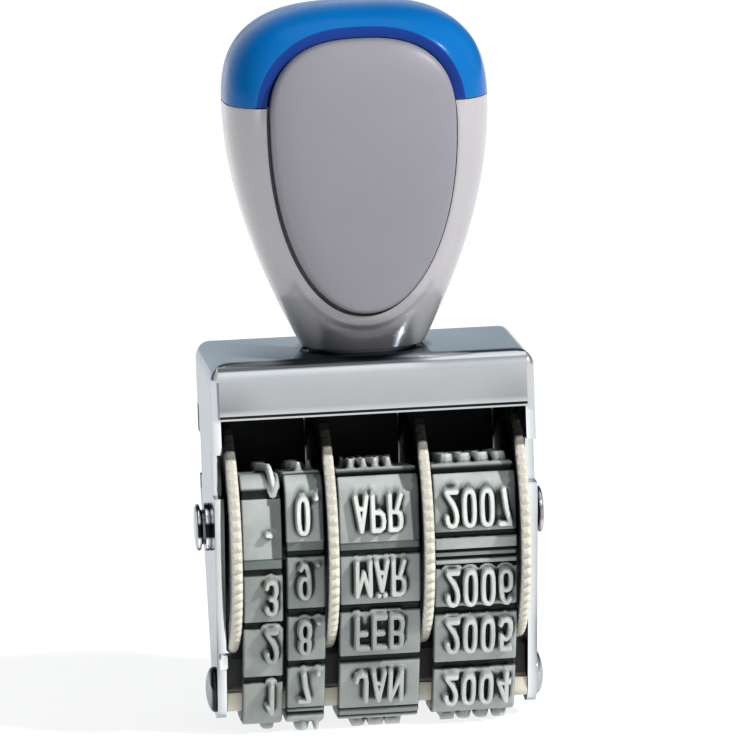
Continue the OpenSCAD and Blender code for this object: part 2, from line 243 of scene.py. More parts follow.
chrome = metal("chrome_plate", (0.887, 0.927, 0.960), (0.960, 0.992, 1.0), 0.06, 0.003, (0.12, 1.0, 1.0))
nt = chrome.node_tree
bsdf = nt.nodes["Principled BSDF"]
coord = nt.nodes.new("ShaderNodeTexCoord")
# painted contact shadow on the chrome round the handle's foot
place = nt.nodes.new("ShaderNodeMapping")
place.vector_type = "TEXTURE"
place.inputs["Location"].default_value = (0.0, -0.0008, 0.0336)
place.inputs["Scale"].default_value = (0.0061, 0.0068, 0.0016)
nt.links.new(coord.outputs["Object"], place.inputs["Vector"])
away = nt.nodes.new("ShaderNodeVectorMath")
away.operation = "LENGTH"
nt.links.new(place.outputs["Vector"], away.inputs[0])
shade_paint = ramp(nt, away.outputs["Value"], [(0.78, (0.07, 0.085, 0.10)), (0.90, (0.22, 0.25, 0.28)), (1.0, (1.0, 1.0, 1.0))])
mix = nt.nodes.new("ShaderNodeMix")
mix.data_type = "RGBA"
mix.blend_type = "MULTIPLY"
mix.inputs["Factor"].default_value = 1.0
nt.links.new(bsdf.inputs["Base Color"].links[0].from_socket, mix.inputs["A"])
nt.links.new(shade_paint.outputs["Color"], mix.inputs["B"])
nt.links.new(mix.outputs["Result"], bsdf.inputs["Base Color"])
# inside faces of the sheet, near black: painted shade
inside = metal("sheet_inside_painted_shade", (0.013, 0.0135, 0.0145), (0.022, 0.0225, 0.0235), 0.42, 0.004, (0.12, 1.0, 1.0))
nickel = metal("nickel_plate", (0.50, 0.50, 0.50), (0.60, 0.60, 0.60), 0.06, 0.004, (1.0, 1.0, 1.0))
grey = plastic("grey_moulding", (0.362, 0.351, 0.369), (0.384, 0.372, 0.390), 0.24, 0.0014, coat=0.5)
panel_mat = plastic("panel_moulding", (0.203, 0.199, 0.226), (0.217, 0.213, 0.240), 0.42, 0.010)
blue = plastic("blue_moulding", (0.0003, 0.107, 0.345), (0.0006, 0.120, 0.380), 0.20, 0.003, spec=0.12)
# darker copy of the blue for the bevel round the panel: painted shade
blue_shaded_bevel = plastic("blue_moulding_painted_shade", (0.005, 0.030, 0.190), (0.008, 0.036, 0.212), 0.24, 0.003, spec=0.11)
# near black for the cut edges at the rear slots: painted shade
shaded_cut_edge = plastic("cut_edge_painted_shade", (0.004, 0.004, 0.005), (0.008, 0.008, 0.009), 0.70, 0.004, spec=0.02)
# near black for the neck under the handle, where it stands for the shadow gap: painted shade
dark = plastic("dark_moulding", (0.012, 0.012, 0.014), (0.022, 0.022, 0.025), 0.40, 0.012)
ivory = plastic("ivory_moulding", (0.51, 0.50, 0.445), (0.60, 0.585, 0.52), 0.36, 0.010, sss=0.12, blotch=260.0)


def tint(mat, factor_socket, stops):
    """Multiplies the base colour by a ramp over a factor."""
    nt = mat.node_tree
    bsdf = nt.nodes["Principled BSDF"]
    old = bsdf.inputs["Base Color"].links[0].from_socket
    shade = ramp(nt, factor_socket, stops)
    mix = nt.nodes.new("ShaderNodeMix")
    mix.data_type = "RGBA"
    mix.blend_type = "MULTIPLY"
    mix.inputs["Factor"].default_value = 1.0
    nt.links.new(old, mix.inputs["A"])
    nt.links.new(shade.outputs["Color"], mix.inputs["B"])
    nt.links.new(mix.outputs["Result"], bsdf.inputs["Base Color"])


def attribute(mat, name):
    a = mat.node_tree.nodes.new("ShaderNodeAttribute")
    a.attribute_name = name
    return a.outputs["Fac"]


def in_the_open(mat):
    """1 in the open and 0 between the aprons, close under the top plate."""
    nt = mat.node_tree
    geo = nt.nodes.new("ShaderNodeNewGeometry")
    sep = nt.nodes.new("ShaderNodeSeparateXYZ")
    nt.links.new(geo.outputs["Position"], sep.inputs["Vector"])
    off = nt.nodes.new("ShaderNodeMath")
    off.operation = "ABSOLUTE"
    nt.links.new(sep.outputs["Y"], off.inputs[0])
    out = map_range(nt, off.outputs["Value"], 0.0, 1.0, 0.0073, 0.0083)
    low = map_range(nt, sep.outputs["Z"], 1.0, 0.0, 0.0200, 0.0235)
    both = nt.nodes.new("ShaderNodeMath")
    both.operation = "MAXIMUM"
    nt.links.new(out.outputs["Result"], both.inputs[0])
    nt.links.new(low.outputs["Result"], both.inputs[1])
    return both.outputs["Value"]


# painted reflection and shade on the chrome: plain chrome is at the middle of its tone, painted darker below and
# brighter above
tint(chrome, attribute(chrome, "tone"), [(0.0, (0.05, 0.052, 0.055)), (0.25, (0.245, 0.252, 0.258)), (0.5, (0.62, 0.62, 0.62)), (1.0, (1.0, 1.0, 1.0))])
# painted reflection on the turned steel, by the tone attribute
nickel_rim = metal("nickel_turned", (0.80, 0.80, 0.80), (0.95, 0.95, 0.95), 0.06, 0.004, (1.0, 1.0, 1.0))
tint(nickel_rim, attribute(nickel_rim, "tone"), [(0.0, (0.012, 0.012, 0.013)), (0.5, (0.62, 0.62, 0.62)), (1.0, (1.0, 1.0, 1.0))])
# painted shade: the wheels go dark, with little specular, between the aprons, close under the top plate
tint(ivory, in_the_open(ivory), [(0.0, (0.018, 0.018, 0.018)), (0.5, (0.20, 0.20, 0.20)), (0.9, (0.92, 0.92, 0.92)), (1.0, (1.0, 1.0, 1.0))])
ivory.node_tree.links.new(map_range(ivory.node_tree, in_the_open(ivory), 0.02, 0.5).outputs["Result"], ivory.node_tree.nodes["Principled BSDF"].inputs["Specular IOR Level"])
# painted shade: the wheels' sides darken towards the middle, and the rib valleys in the middle of each rim go darker
# and warmer; painted dark reflection: the handle darkens at its foot
tint(ivory, attribute(ivory, "rim"), [(0.0, (0.026, 0.025, 0.024)), (0.6, (0.065, 0.063, 0.059)), (1.0, (1.0, 1.0, 1.0))])
tint(ivory, attribute(ivory, "dot"), [(0.0, (1.0, 1.0, 1.0)), (0.5, (0.93, 0.89, 0.80)), (1.0, (0.74, 0.65, 0.50))])
tint(grey, attribute(grey, "rise"), [(0.0, (0.17, 0.18, 0.185)), (0.25, (0.22, 0.23, 0.235)), (0.34, (0.44, 0.455, 0.455)), (0.45, (0.68, 0.70, 0.70)),
                                     (0.68, (0.78, 0.80, 0.80)), (0.76, (0.96, 0.96, 0.96)), (1.0, (1.0, 1.0, 1.0))])


def rubber():
    """Moulded rubber, with painted shade near black in the grooves and counters, beside the wheels and over the lower
    places, and paler on the faces of the type.
    """
    mat, nt, bsdf, coord = new_material("band_rubber")
    attr = nt.nodes.new("ShaderNodeAttribute")
    attr.attribute_name = "relief"
    tone = ramp(nt, attr.outputs["Fac"], [(0.0, (0.005, 0.007, 0.007)), (0.06, (0.010, 0.013, 0.013)), (0.17, (0.13, 0.155, 0.148)), (0.28, (0.375, 0.405, 0.39)),
                                          (0.66, (0.34, 0.365, 0.35)), (0.92, (0.54, 0.56, 0.54)), (1.0, (0.64, 0.66, 0.635))])
    hollow = nt.nodes.new("ShaderNodeAttribute")
    hollow.attribute_name = "cavity"
    dim = ramp(nt, hollow.outputs["Fac"], [(0.0, (1.0, 1.0, 1.0)), (0.30, (0.60, 0.62, 0.61)), (0.75, (0.07, 0.08, 0.08)), (1.0, (0.025, 0.03, 0.03))])
    tone_mix = nt.nodes.new("ShaderNodeMix")
    tone_mix.data_type = "RGBA"
    tone_mix.blend_type = "MULTIPLY"
    tone_mix.inputs["Factor"].default_value = 1.0
    nt.links.new(tone.outputs["Color"], tone_mix.inputs["A"])
    nt.links.new(dim.outputs["Color"], tone_mix.inputs["B"])
    cloud = noise(nt, coord, 420.0, 5.0, 0.65)
    shade = ramp(nt, cloud.outputs["Fac"], [(0.3, (0.80, 0.81, 0.83)), (0.7, (1.08, 1.07, 1.05))])
    mix = nt.nodes.new("ShaderNodeMix")
    mix.data_type = "RGBA"
    mix.blend_type = "MULTIPLY"
    mix.inputs["Factor"].default_value = 1.0
    nt.links.new(tone_mix.outputs["Result"], mix.inputs["A"])
    nt.links.new(shade.outputs["Color"], mix.inputs["B"])
    nt.links.new(mix.outputs["Result"], bsdf.inputs["Base Color"])
    r = map_range(nt, cloud.outputs["Fac"], 0.38, 0.58, 0.3, 0.7)
    nt.links.new(r.outputs["Result"], bsdf.inputs["Roughness"])
    bsdf.inputs["Specular IOR Level"].default_value = 0.25
    fine = noise(nt, coord, 5200.0, 3.0, 0.6)
    add_bump(nt, bsdf, fine.outputs["Fac"], 0.4, 0.012)
    return mat


band_mat = rubber()


def finish_piece(obj, body, mat, slot, *nodes):
    obj.data.materials.clear()
    obj.data.materials.append(mat)
    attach(obj, body)
    if nodes:
        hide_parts(*nodes)


# ------------------------------------------------------------------ handle
HW, HD, TOP, WIDE, FOOT, SEAM = 11.4, 8.3, 63.5, 54.5, 33.75, 55.3
SIDE_N, DOME_N, FALL = 3.0, 2.8, 20.35


def half_sizes(z):
    z = np.asarray(z, float)
    t = 1 - 0.51 * (np.clip(WIDE - z, 0, None) / FALL) ** 1.81
    td = 1 - 0.45 * (np.clip(WIDE - z, 0, None) / FALL) ** 1.81
    u = np.clip((z - WIDE) / (TOP - WIDE), 0, 1)
    r = np.clip(1 - u ** DOME_N, 0, None) ** (1 / DOME_N)
    return HW * t * r, HD * td * r


def surf(x, z):
    a, b = half_sizes(z)
    a = np.maximum(a, 1e-6)
    k = np.clip((np.asarray(z, float) - FOOT) / 12.0, 0, 1)
    n = SIDE_N - 0.7 * (1 - k * k * (3 - 2 * k))
    return b * np.clip(1 - np.minimum(np.abs(x) / a, 1.0) ** n, 0, None) ** (1 / n)


EGG_N = 320


def egg(grow=0.0):
    """Outline of the panel in X and Z, moved outwards by grow."""
    t = 2 * np.pi * (np.arange(EGG_N) + 0.5) / EGG_N
    c, s = np.cos(t), np.sin(t)
    up = s >= 0
    n = np.where(up, 2.6, 2.1)
    x = 8.0 * np.sign(c) * np.abs(c) ** (2 / n)
    z = 53.5 + np.where(up, 7.4, 16.5) * np.sign(s) * np.abs(s) ** (2 / n)
    # even spacing along the outline
    px, pz = np.append(x, x[0]), np.append(z, z[0])
    l = np.concatenate([[0], np.cumsum(np.hypot(np.diff(px), np.diff(pz)))])
    q = np.linspace(0, l[-1], EGG_N, endpoint=False)
    x, z = np.interp(q, l, px), np.interp(q, l, pz)
    dx, dz = np.roll(x, -2) - np.roll(x, 2), np.roll(z, -2) - np.roll(z, 2)
    d = np.hypot(dx, dz)
    nx, nz = dz / d, -dx / d
    return x + nx * grow, z + nz * grow


def gap_round():
    """Width of the groove round the panel: wider at the left and below."""
    x, z = egg(0.0)
    x2, z2 = egg(1.0)
    return 0.09 + 0.27 * np.clip(-0.78 * (x2 - x) - 0.63 * (z2 - z), 0, 1)


MID = (0.0, 50.0)
GAP = gap_round()


def edge_of_handle(x, z):
    """Where the ray from the middle of the panel through each point leaves the handle's outline."""
    dx, dz = x - MID[0], z - MID[1]
    lo, hi = np.ones(len(x)), np.full(len(x), 4.0)
    for _ in range(48):
        m = (lo + hi) / 2
        qx, qz = MID[0] + dx * m, MID[1] + dz * m
        a, _b = half_sizes(qz)
        inside = (qz < TOP) & (qz > FOOT) & (np.abs(qx) < a)
        lo = np.where(inside, m, lo)
        hi = np.where(inside, hi, m)
    return MID[0] + dx * lo, MID[1] + dz * lo


def handle_half():
    """Rings of the front half of the shell, from the pocket's middle out to the silhouette."""
    rings = []

    def ring(x, z, drop):
        rings.append(np.column_stack([x, -np.maximum(surf(x, z) - drop, 0.0), z]))

    x0, z0 = egg(GAP)
    for q in (0.15, 0.4, 0.7, 0.9):
        ring(MID[0] + (x0 - MID[0]) * q, MID[1] + (z0 - MID[1]) * q, 1.7)
    ring(x0, z0, 1.7)
    ring(x0, z0, 1.2)

    def smooth(v):
        v = np.clip(v, 0, 1)
        return v * v * (3 - 2 * v)

    # round the panel: a bevel in the cap, a narrow crease in the body and a low step below the panel
    for g in (0.0, 0.04, 0.10, 0.18, 0.30, 0.50, 0.66, 0.76, 0.82, 0.88, 0.94, 1.02, 1.12, 1.24, 1.36):
        x, z = egg(GAP + g)
        up = smooth((z - 53.8) / 2.4)
        down = 1 - smooth((z - 42.0) / 5.0)
        bevel_d = 0.62 * max(0.0, 0.90 - g) / 0.90 + 0.035 * math.exp(-((g - 0.90) / 0.10) ** 2)
        crease = 0.10 * max(0.0, 1 - g / 0.18)
        ring(x, z, up * bevel_d + (1 - up) * crease + down * 0.16 * smooth((g - 0.74) / 0.50))
    x1, z1 = egg(GAP + 1.36)
    bx, bz = edge_of_handle(x1, z1)
    n = 34
    for j in range(1, n + 1):
        q = 1 - (1 - j / n) ** 3
        x, z = x1 + (bx - x1) * q, z1 + (bz - z1) * q
        y = np.maximum(surf(x, z) - 0.16 * (1 - smooth((z - 42.0) / 5.0)) * (1 - q), 0.0)
        rings.append(np.column_stack([x, -y, z]))
    low = bz < FOOT + 0.002
    rings[-1][~low, 1] = 0.0
    # bottom face, closed to the middle plane; elsewhere this ring repeats the silhouette
    last = rings[-1].copy()
    last[:, 1] = 0.0
    rings.append(last)
    return rings


front = handle_half()
n_egg = EGG_N
verts = np.vstack(front)
m = len(front)
faces = []
for j in range(m - 1):
    for i in range(n_egg):
        i2 = (i + 1) % n_egg
        faces.append((j * n_egg + i, j * n_egg + i2, (j + 1) * n_egg + i2, (j + 1) * n_egg + i))
faces.append(tuple(range(n_egg)))
rear = verts.copy()
rear[:, 0] *= -1
rear[:, 1] *= -1
nv = len(verts)
faces += [tuple(i + nv for i in f) for f in list(faces)]
shell_verts = np.vstack([verts, rear])


def handle_part(name, keep_above, z_cut):
    obj = add_object(name, shell_verts, faces)
    bm = bmesh.new()
    bm.from_mesh(obj.data)
    bmesh.ops.remove_doubles(bm, verts=bm.verts, dist=0.002 * MM)
    bmesh.ops.dissolve_degenerate(bm, edges=bm.edges, dist=0.001 * MM)
    bmesh.ops.recalc_face_normals(bm, faces=bm.faces)
    geom = bm.verts[:] + bm.edges[:] + bm.faces[:]
    bmesh.ops.bisect_plane(bm, geom=geom, dist=1e-7, plane_co=(0, 0, z_cut * MM), plane_no=(0, 0, 1),
                           clear_inner=keep_above, clear_outer=not keep_above)
    rim = [e for e in bm.edges if e.is_boundary]
    made = bmesh.ops.edgeloop_fill(bm, edges=rim)
    bmesh.ops.recalc_face_normals(bm, faces=bm.faces)
    bmesh.ops.bevel(bm, geom=[e for f in made["faces"] for e in f.edges], offset=0.10 * MM, segments=2, profile=0.5, affect="EDGES", clamp_overlap=True)
    if not keep_above:
        # rounded lower edge
        low = (FOOT + 0.01) * MM
        foot = [e for e in bm.edges if all(v.co.z < low for v in e.verts) and len(e.link_faces) == 2 and e.calc_face_angle(0.0) > 0.6]
        bmesh.ops.bevel(bm, geom=foot, offset=0.35 * MM, segments=4, profile=0.5, affect="EDGES", clamp_overlap=True)
    bm.to_mesh(obj.data)
    bm.free()
    obj.data.polygons.foreach_set("use_smooth", np.ones(len(obj.data.polygons), dtype=bool))
    obj.data.set_sharp_from_angle(angle=math.radians(42))
    # painted dark reflection: the body darkens towards its foot, most in the middle of the front and back
    at = obj.data.attributes.new("rise", "FLOAT", "POINT")
    x, y, z = (np.array([v.co for v in obj.data.vertices]) / MM).T
    side = np.clip((np.abs(x) - 2.4) / 2.2, 0, 1)
    side = side * side * (3 - 2 * side)
    rise = np.clip((z - FOOT) / 6.6, 0, 1)
    at.data.foreach_set("value", np.maximum(rise, 0.36 * side + 0.20 * side * rise).astype(np.float32))
    return obj


def near_panel(obj, grow):
    """Which faces lie within a distance of the panels' outline."""
    ex, ez = egg(grow)
    a, r = np.arctan2(ez - MID[1], ex - MID[0]), np.hypot(ez - MID[1], ex - MID[0])
    o = np.argsort(a)
    c = np.array([f.center for f in obj.data.polygons]) / MM
    dx, dz = c[:, 0], c[:, 2] - MID[1]
    lim = np.interp(np.arctan2(dz, dx), a[o], r[o], period=2 * np.pi)
    return (np.hypot(dx, dz) < lim) & (np.abs(c[:, 1]) > 1.0)


body_shell = handle_part("handle_body_shell", False, SEAM - 0.05)
finish_piece(body_shell, "stamp", grey, "grey_plastic", "handle_body")
cap_shell = handle_part("handle_cap_shell", True, SEAM + 0.05)
finish_piece(cap_shell, "stamp", blue, "blue_plastic", "handle_cap")
# painted shade: the bevel round the panel in the cap takes the darker copy of the blue
cap_shell.data.materials.append(blue_shaded_bevel)
cap_shell.data.polygons.foreach_set("material_index", near_panel(cap_shell, GAP + 0.86).astype(np.int32))


def panel_piece(name, turn):
    rings = []
    x0, z0 = egg(0.0)

    def level(x, z):
        # a little flatter than the handle under it
        return surf(x, z) * 0.55 + 0.45 * (surf(0 * x, z) - 0.012 * x ** 2)

    def ring(x, z, drop):
        rings.append(np.column_stack([x, -(level(x, z) - drop), z]))

    def ring_abs(x, z, drop):
        rings.append(np.column_stack([x, -(surf(x, z) - drop), z]))

    ring_abs(MID[0] + (x0 - MID[0]) * 0.5, MID[1] + (z0 - MID[1]) * 0.5, 1.55)
    ring_abs(x0, z0, 1.55)
    for g, d in ((0.0, 0.6), (0.0, 0.12), (-0.015, -0.06), (-0.05, -0.20), (-0.11, -0.32), (-0.19, -0.40), (-0.30, -0.45), (-0.44, -0.47)):
        x, z = egg(g)
        ring_abs(x, z, d)
    xe, ze = egg(-0.44)
    for q in np.linspace(0.97, 0.06, 22):
        x, z = MID[0] + (xe - MID[0]) * q, MID[1] + (ze - MID[1]) * q
        k = min(1.0, (1 - q) / 0.30)
        k = k * k * (3 - 2 * k)
        y = (surf(x, z) + 0.47) * (1 - k) + k * (level(x, z) + 0.47)
        rings.append(np.column_stack([x, -y, z]))
    v, f = loft([[tuple(p) for p in r] for r in rings], cap_start=True, cap_end=True)
    v = np.array(v)
    if turn:
        v[:, 0] *= -1
        v[:, 1] *= -1
    obj = add_object(name, v, f)
    clean(obj, sharp=48)
    return obj


front_panel = panel_piece("front_panel_plate", False)
finish_piece(front_panel, "stamp", panel_mat, "panel_plastic", "front_panel")
rear_panel = panel_piece("rear_panel_plate", True)
finish_piece(rear_panel, "stamp", panel_mat, "panel_plastic", "rear_panel")

# ------------------------------------------------------------------ frame
W2, D2, TZ, BEND, RC, SHEET = 14.0, 7.5, 33.5, 1.5, 0.7, 0.8
APRON_Z, AXLE_Z, RIVET_Z, END_R = 28.6, 18.15, 3.7, 2.5


def leg_half(z):
    if z >= 20.5:
        h = D2 - RC
    elif z >= RIVET_Z:
        h = END_R + (D2 - RC - END_R) * (z - RIVET_Z) / (20.5 - RIVET_Z)
    else:
        h = math.sqrt(max(END_R ** 2 - (RIVET_Z - z) ** 2, 0.0))
    return h


# ends of the deeper middle of the rear apron, and the sides of the slots in it
REAR_X = (-12.0, -4.70, -3.68, 3.55, 4.57, 11.94)


def frame_outer():
    """Outside skin of the bent sheet: bends and aprons as rings, then the legs as two strips."""
    nf, ns, nc = 40, 24, 6
    kinds, base = [], []
    # outline of the box seen from above, counter-clockwise from the front left corner
    def corner(cx, cy, a0):
        for i in range(1, nc):
            a = math.radians(a0 + 90 * i / nc)
            base.append((cx, cy, math.cos(a), math.sin(a)))
            kinds.append("c")
    for i in range(nf + 1):
        base.append((-W2 + RC + (2 * W2 - 2 * RC) * i / nf, -D2 + RC, 0, -1)); kinds.append("f")
    corner(W2 - RC, -D2 + RC, -90)
    for i in range(ns + 1):
        base.append((W2 - RC, -D2 + RC + (2 * D2 - 2 * RC) * i / ns, 1, 0)); kinds.append("r")
    corner(W2 - RC, D2 - RC, 0)
    rear_x = sorted({round(-W2 + RC + (2 * W2 - 2 * RC) * i / nf, 4) for i in range(nf + 1)} | set(REAR_X), reverse=True)
    for x in rear_x:
        base.append((x, D2 - RC, 0, 1)); kinds.append("b")
    corner(-W2 + RC, D2 - RC, 90)
    for i in range(ns + 1):
        base.append((-W2 + RC, D2 - RC - (2 * D2 - 2 * RC) * i / ns, -1, 0)); kinds.append("l")
    corner(-W2 + RC, -D2 + RC, 180)
    n = len(base)

    def outline(inset):
        pts = []
        r = RC - inset
        for (cx, cy, ux, uy), k in zip(base, kinds):
            if r >= 0:
                pts.append((cx + ux * r, cy + uy * r))
            else:
                sx = (W2 - inset) / (W2 - RC)
                sy = (D2 - inset) / (D2 - RC)
                pts.append((cx * sx, cy * sy))
        return pts

    verts, faces = [], []
    rings = []
    steps = 12
    for j in range(steps + 1):
        a = math.pi / 2 * j / steps
        inset = BEND * (1 - math.sin(a))
        z = TZ - BEND * (1 - math.cos(a))
        rings.append([(x, y, z) for x, y in outline(inset)])
    for z in (31.2, 30.4, 29.5, 28.99, 28.76, APRON_Z):
        rings.append([(x, y, z) for x, y in outline(0.0)])
    for r in rings:
        verts += r
    faces.append(tuple(range(n)))
    for j in range(len(rings) - 1):
        for i in range(n):
            i2 = (i + 1) % n
            # slits at the corners, under the bend
            if j >= steps and ("c" in (kinds[i], kinds[i2]) or kinds[i] != kinds[i2]):
                continue
            faces.append((j * n + i, j * n + i2, (j + 1) * n + i2, (j + 1) * n + i))
    # legs below the aprons
    zs = [28.0, 27.0, 26.2, 25.56, 25.54, 24.5, 23.0, 21.76, 21.74, 21.2, 20.5]
    zs += list(np.linspace(19.5, RIVET_Z, 14))
    zs += [RIVET_Z - END_R * math.sin(math.radians(a)) for a in (12, 24, 36, 48, 58, 67, 75, 82, 87)]
    last_ring = (len(rings) - 1) * n
    for side in ("l", "r"):
        idx = [i for i in range(n) if kinds[i] == side]
        prev = [last_ring + i for i in idx]
        full = D2 - RC
        for z in zs:
            h = leg_half(z)
            if 21.75 < z < 25.55:
                h = full - 1.8
            row = []
            for i in idx:
                y = base[i][1] / full * h
                verts.append((-W2 if side == "l" else W2, y, z))
                row.append(len(verts) - 1)
            for a in range(len(idx) - 1):
                faces.append((prev[a], prev[a + 1], row[a + 1], row[a]))
            prev = row
    # deeper middle of the rear apron, slotted for the two inner wheels
    idx = [i for i in range(n) if kinds[i] == "b" and REAR_X[0] - 0.01 < base[i][0] < REAR_X[-1] + 0.01]
    prev = {i: last_ring + i for i in idx}
    for z in (28.1, 27.3, 26.0, 24.2, 22.4, 20.5):
        row = {}
        for i in idx:
            verts.append((base[i][0], D2, z))
            row[i] = len(verts) - 1
        for i, i2 in zip(idx[:-1], idx[1:]):
            x = (base[i][0] + base[i2][0]) / 2
            slot = REAR_X[1] < x < REAR_X[2] or REAR_X[3] < x < REAR_X[4]
            if slot and z < 27.2:
                continue
            faces.append((prev[i], prev[i2], row[i2], row[i]))
        prev = row
    used = sorted({i for f in faces for i in f})
    new = {i: k for k, i in enumerate(used)}
    return [verts[i] for i in used], [tuple(new[i] for i in f) for f in faces]


v, f = frame_outer()
frame_obj = add_object("frame_sheet", v, f)
clean(frame_obj)
frame_obj.data.materials.append(chrome)
frame_obj.data.materials.append(inside)
frame_obj.data.materials.append(shaded_cut_edge)
sol = frame_obj.modifiers.new("sheet", "SOLIDIFY")
sol.thickness = SHEET * MM
sol.offset = -1.0
sol.use_even_offset = True
sol.material_offset = 1
bevel(frame_obj, 0.13, 3, 50)
apply_modifiers(frame_obj)


def lug(turn):
    """Small tab on the edge of a leg, turned a little inwards."""
    rings = []
    for y, x0, x1, h0, h1 in ((-2.5, -13.85, -13.25, 6.0, 7.55), (-3.2, -13.85, -13.22, 6.0, 7.6), (-3.5, -13.82, -13.14, 6.03, 7.57), (-3.66, -13.74, -13.1, 6.12, 7.48), (-3.74, -13.66, -13.12, 6.22, 7.38)):
        c = 0.1
        rings.append([(x0 + c, y, h0), (x1 - c, y, h0), (x1, y, h0 + c), (x1, y, h1 - c), (x1 - c, y, h1), (x0 + c, y, h1), (x0, y, h1 - c), (x0, y, h0 + c)])
    v, f = loft(rings, cap_start=True, cap_end=True)
    if turn:
        v = [(-x, -y, z) for x, y, z in v]
    return v, f


# painted shade on the sheet: near black inside and on the cut edges at the back, and a fine near-black line over the
# front apron's edge
for f in frame_obj.data.polygons:
    c = f.center / MM
    if 5.9 < c.y < 7.44 and c.z < 28.0 or c.y < -7.49 and 28.76 < c.z < 28.99:
        f.material_index = 2 if c.y > 0 and abs(f.normal.x) > 0.3 else 1


lugs = add_object("frame_lugs", *join_meshes([lug(False), lug(True)]))
clean(lugs, sharp=50)
bm = bmesh.new()
bm.from_mesh(frame_obj.data)
bm.from_mesh(lugs.data)
bm.to_mesh(frame_obj.data)
bm.free()
bpy.data.objects.remove(lugs)
frame_obj.data.polygons.foreach_set("use_smooth", np.ones(len(frame_obj.data.polygons), dtype=bool))
frame_obj.data.set_sharp_from_angle(angle=math.radians(40))


def set_tone(obj, tone):
    at = obj.data.attributes.new("tone", "FLOAT", "POINT")
    at.data.foreach_set("value", np.clip(tone, 0, 1).astype(np.float32))


def ease(v):
    v = np.clip(v, 0, 1)
    return v * v * (3 - 2 * v)


def sheet_tone(obj):
    """Painted reflection, highlight and shade on the plating: the front bend, the front apron and the legs."""
    x, y, z = (np.array([v.co for v in obj.data.vertices]) / MM).T
    tone = np.full(len(x), 0.5)
    # front bend: a painted dark reflection line that ends in a painted bright one, deepest before the handle's foot
    a = np.degrees(np.arctan2(-y - (D2 - BEND), z - (TZ - BEND)))
    on = (y < -(D2 - BEND) + 0.02) & (z > TZ - BEND - 0.02) & (np.abs(x) < W2 - RC + 0.01) & (np.hypot(-y - (D2 - BEND), z - (TZ - BEND)) > 1.25)
    plain = np.interp(a, [0, 67, 90], [0.5, 0.5, 0.42])
    lined = np.interp(a, [0, 30, 37.5, 45, 52.5, 60, 67.5, 75, 82.5, 90], [0.5, 0.46, 0.25, 0.06, 0.12, 1.0, 0.70, 0.52, 0.46, 0.42])
    deep = ease((x + 9.0) / 2.4) * (1 - ease((x - 0.8) / 2.8)) * (1 - ease((a - 46) / 8))
    bend = lined * (1 - deep) + 0.02 * deep
    k = 1 - ease((x - 2.6) / 3.4)
    tone = np.where(on, bend * k + plain * (1 - k), tone)
    # front apron: painted reflection, a little darker towards its ends
    on = (y < -D2 + 0.06) & (z < TZ - BEND + 0.01) & (z > APRON_Z - 0.01) & (np.abs(x) < W2 - RC + 0.01)
    end = np.where(x < 0, 0.10, 0.055) * ease((np.abs(x) - 8.5) / 4.5) * np.clip((32.4 - z) / 3.0, 0, 1)
    tone = np.where(on, np.interp(z, [28.9, 29.0, 29.5, 30.4, 32.0], [0.5, 0.5, 0.385, 0.395, 0.42]) - end * (z > 29.05), tone)
    # legs: painted reflection, darker in a band low down, and a painted highlight along their edges
    on = (np.abs(x) > W2 - 0.06) & (np.abs(y) < 6.5) & (z < 32.7)
    tone = np.where(on, np.interp(z, [0, 4.4, 5.4, 7, 8, 9, 10, 11, 12, 14, 32.0, 32.7], [0.5, 0.48, 0.30, 0.25, 0.25, 0.29, 0.35, 0.39, 0.42, 0.43, 0.43, 0.5]), tone)
    half = np.array([leg_half(q) - (1.8 if 21.75 < q < 25.55 else 0.0) for q in z])
    on = (np.abs(x) > W2 - SHEET - 0.02) & (np.abs(x) < W2 - 0.01) & (z < APRON_Z - 0.3) & (z > 1.6) & (np.abs(y) > half - 0.16)
    return np.where(on, 0.95, tone)


set_tone(frame_obj, sheet_tone(frame_obj))
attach(frame_obj, "stamp")
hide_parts("frame")

# ------------------------------------------------------------------ axle, washers, rivets
def axle_end(sign):
    p = [(15.2, 0.0), (15.2, 1.35), (15.17, 1.75), (15.08, 1.97), (14.95, 2.05), (14.84, 2.02), (14.77, 1.9), (14.72, 1.62), (14.62, 1.5), (13.5, 1.5), (13.5, 0.0)]
    return [(sign * x, r) for x, r in p]


axle_parts = []
prof = axle_end(-1)[:-1] + [(x, r) for x, r in reversed(axle_end(1))][1:]
axle = add_object("axle_rod", *turned_x(prof, 96, 0, AXLE_Z))
clean(axle, sharp=50)
finish_piece(axle, "stamp", nickel_rim, "steel", "wheel_axle")


def head_tone(obj):
    """Painted reflection: bright and dark stripes along the turned rims, and a dark band on the rod next to them."""
    co = np.array([v.co for v in obj.data.vertices]) / MM - np.array([0, 0, AXLE_Z])
    x, y, z = np.abs(co.T)
    r = np.hypot(y, z)
    turn = np.degrees(np.arctan2(z, y))
    stripe = np.interp(turn, [0, 17, 23, 50, 57, 74, 84], [0.0, 0.0, 1.0, 1.0, 0.04, 0.04, 0.5])
    tone = np.where((r > 1.6) & (x > 14.02) & (x < 15.12), stripe, 0.5)
    tone = np.where((r <= 1.63) & (x > 14.02) & (x < 15.0), 0.12, tone)
    return np.where(co[:, 0] > 0, 0.5 + 0.4 * (tone - 0.5), tone)


set_tone(axle, head_tone(axle))


def ring_x(x0, x1, r0, r1, cz, seg=96, soft=0.1):
    prof = [(x0 + soft, r0), (x0, r0 + soft), (x0, r1 - soft), (x0 + soft * 0.3, r1 - soft * 0.3), (x0 + soft, r1), (x1 - soft, r1), (x1 - soft * 0.3, r1 - soft * 0.3), (x1, r1 - soft), (x1, r0 + soft), (x1 - soft, r0)]
    rings = [[(x, r * math.cos(2 * math.pi * i / seg), cz + r * math.sin(2 * math.pi * i / seg)) for i in range(seg)] for x, r in prof]
    return loft(rings, wrap=True)


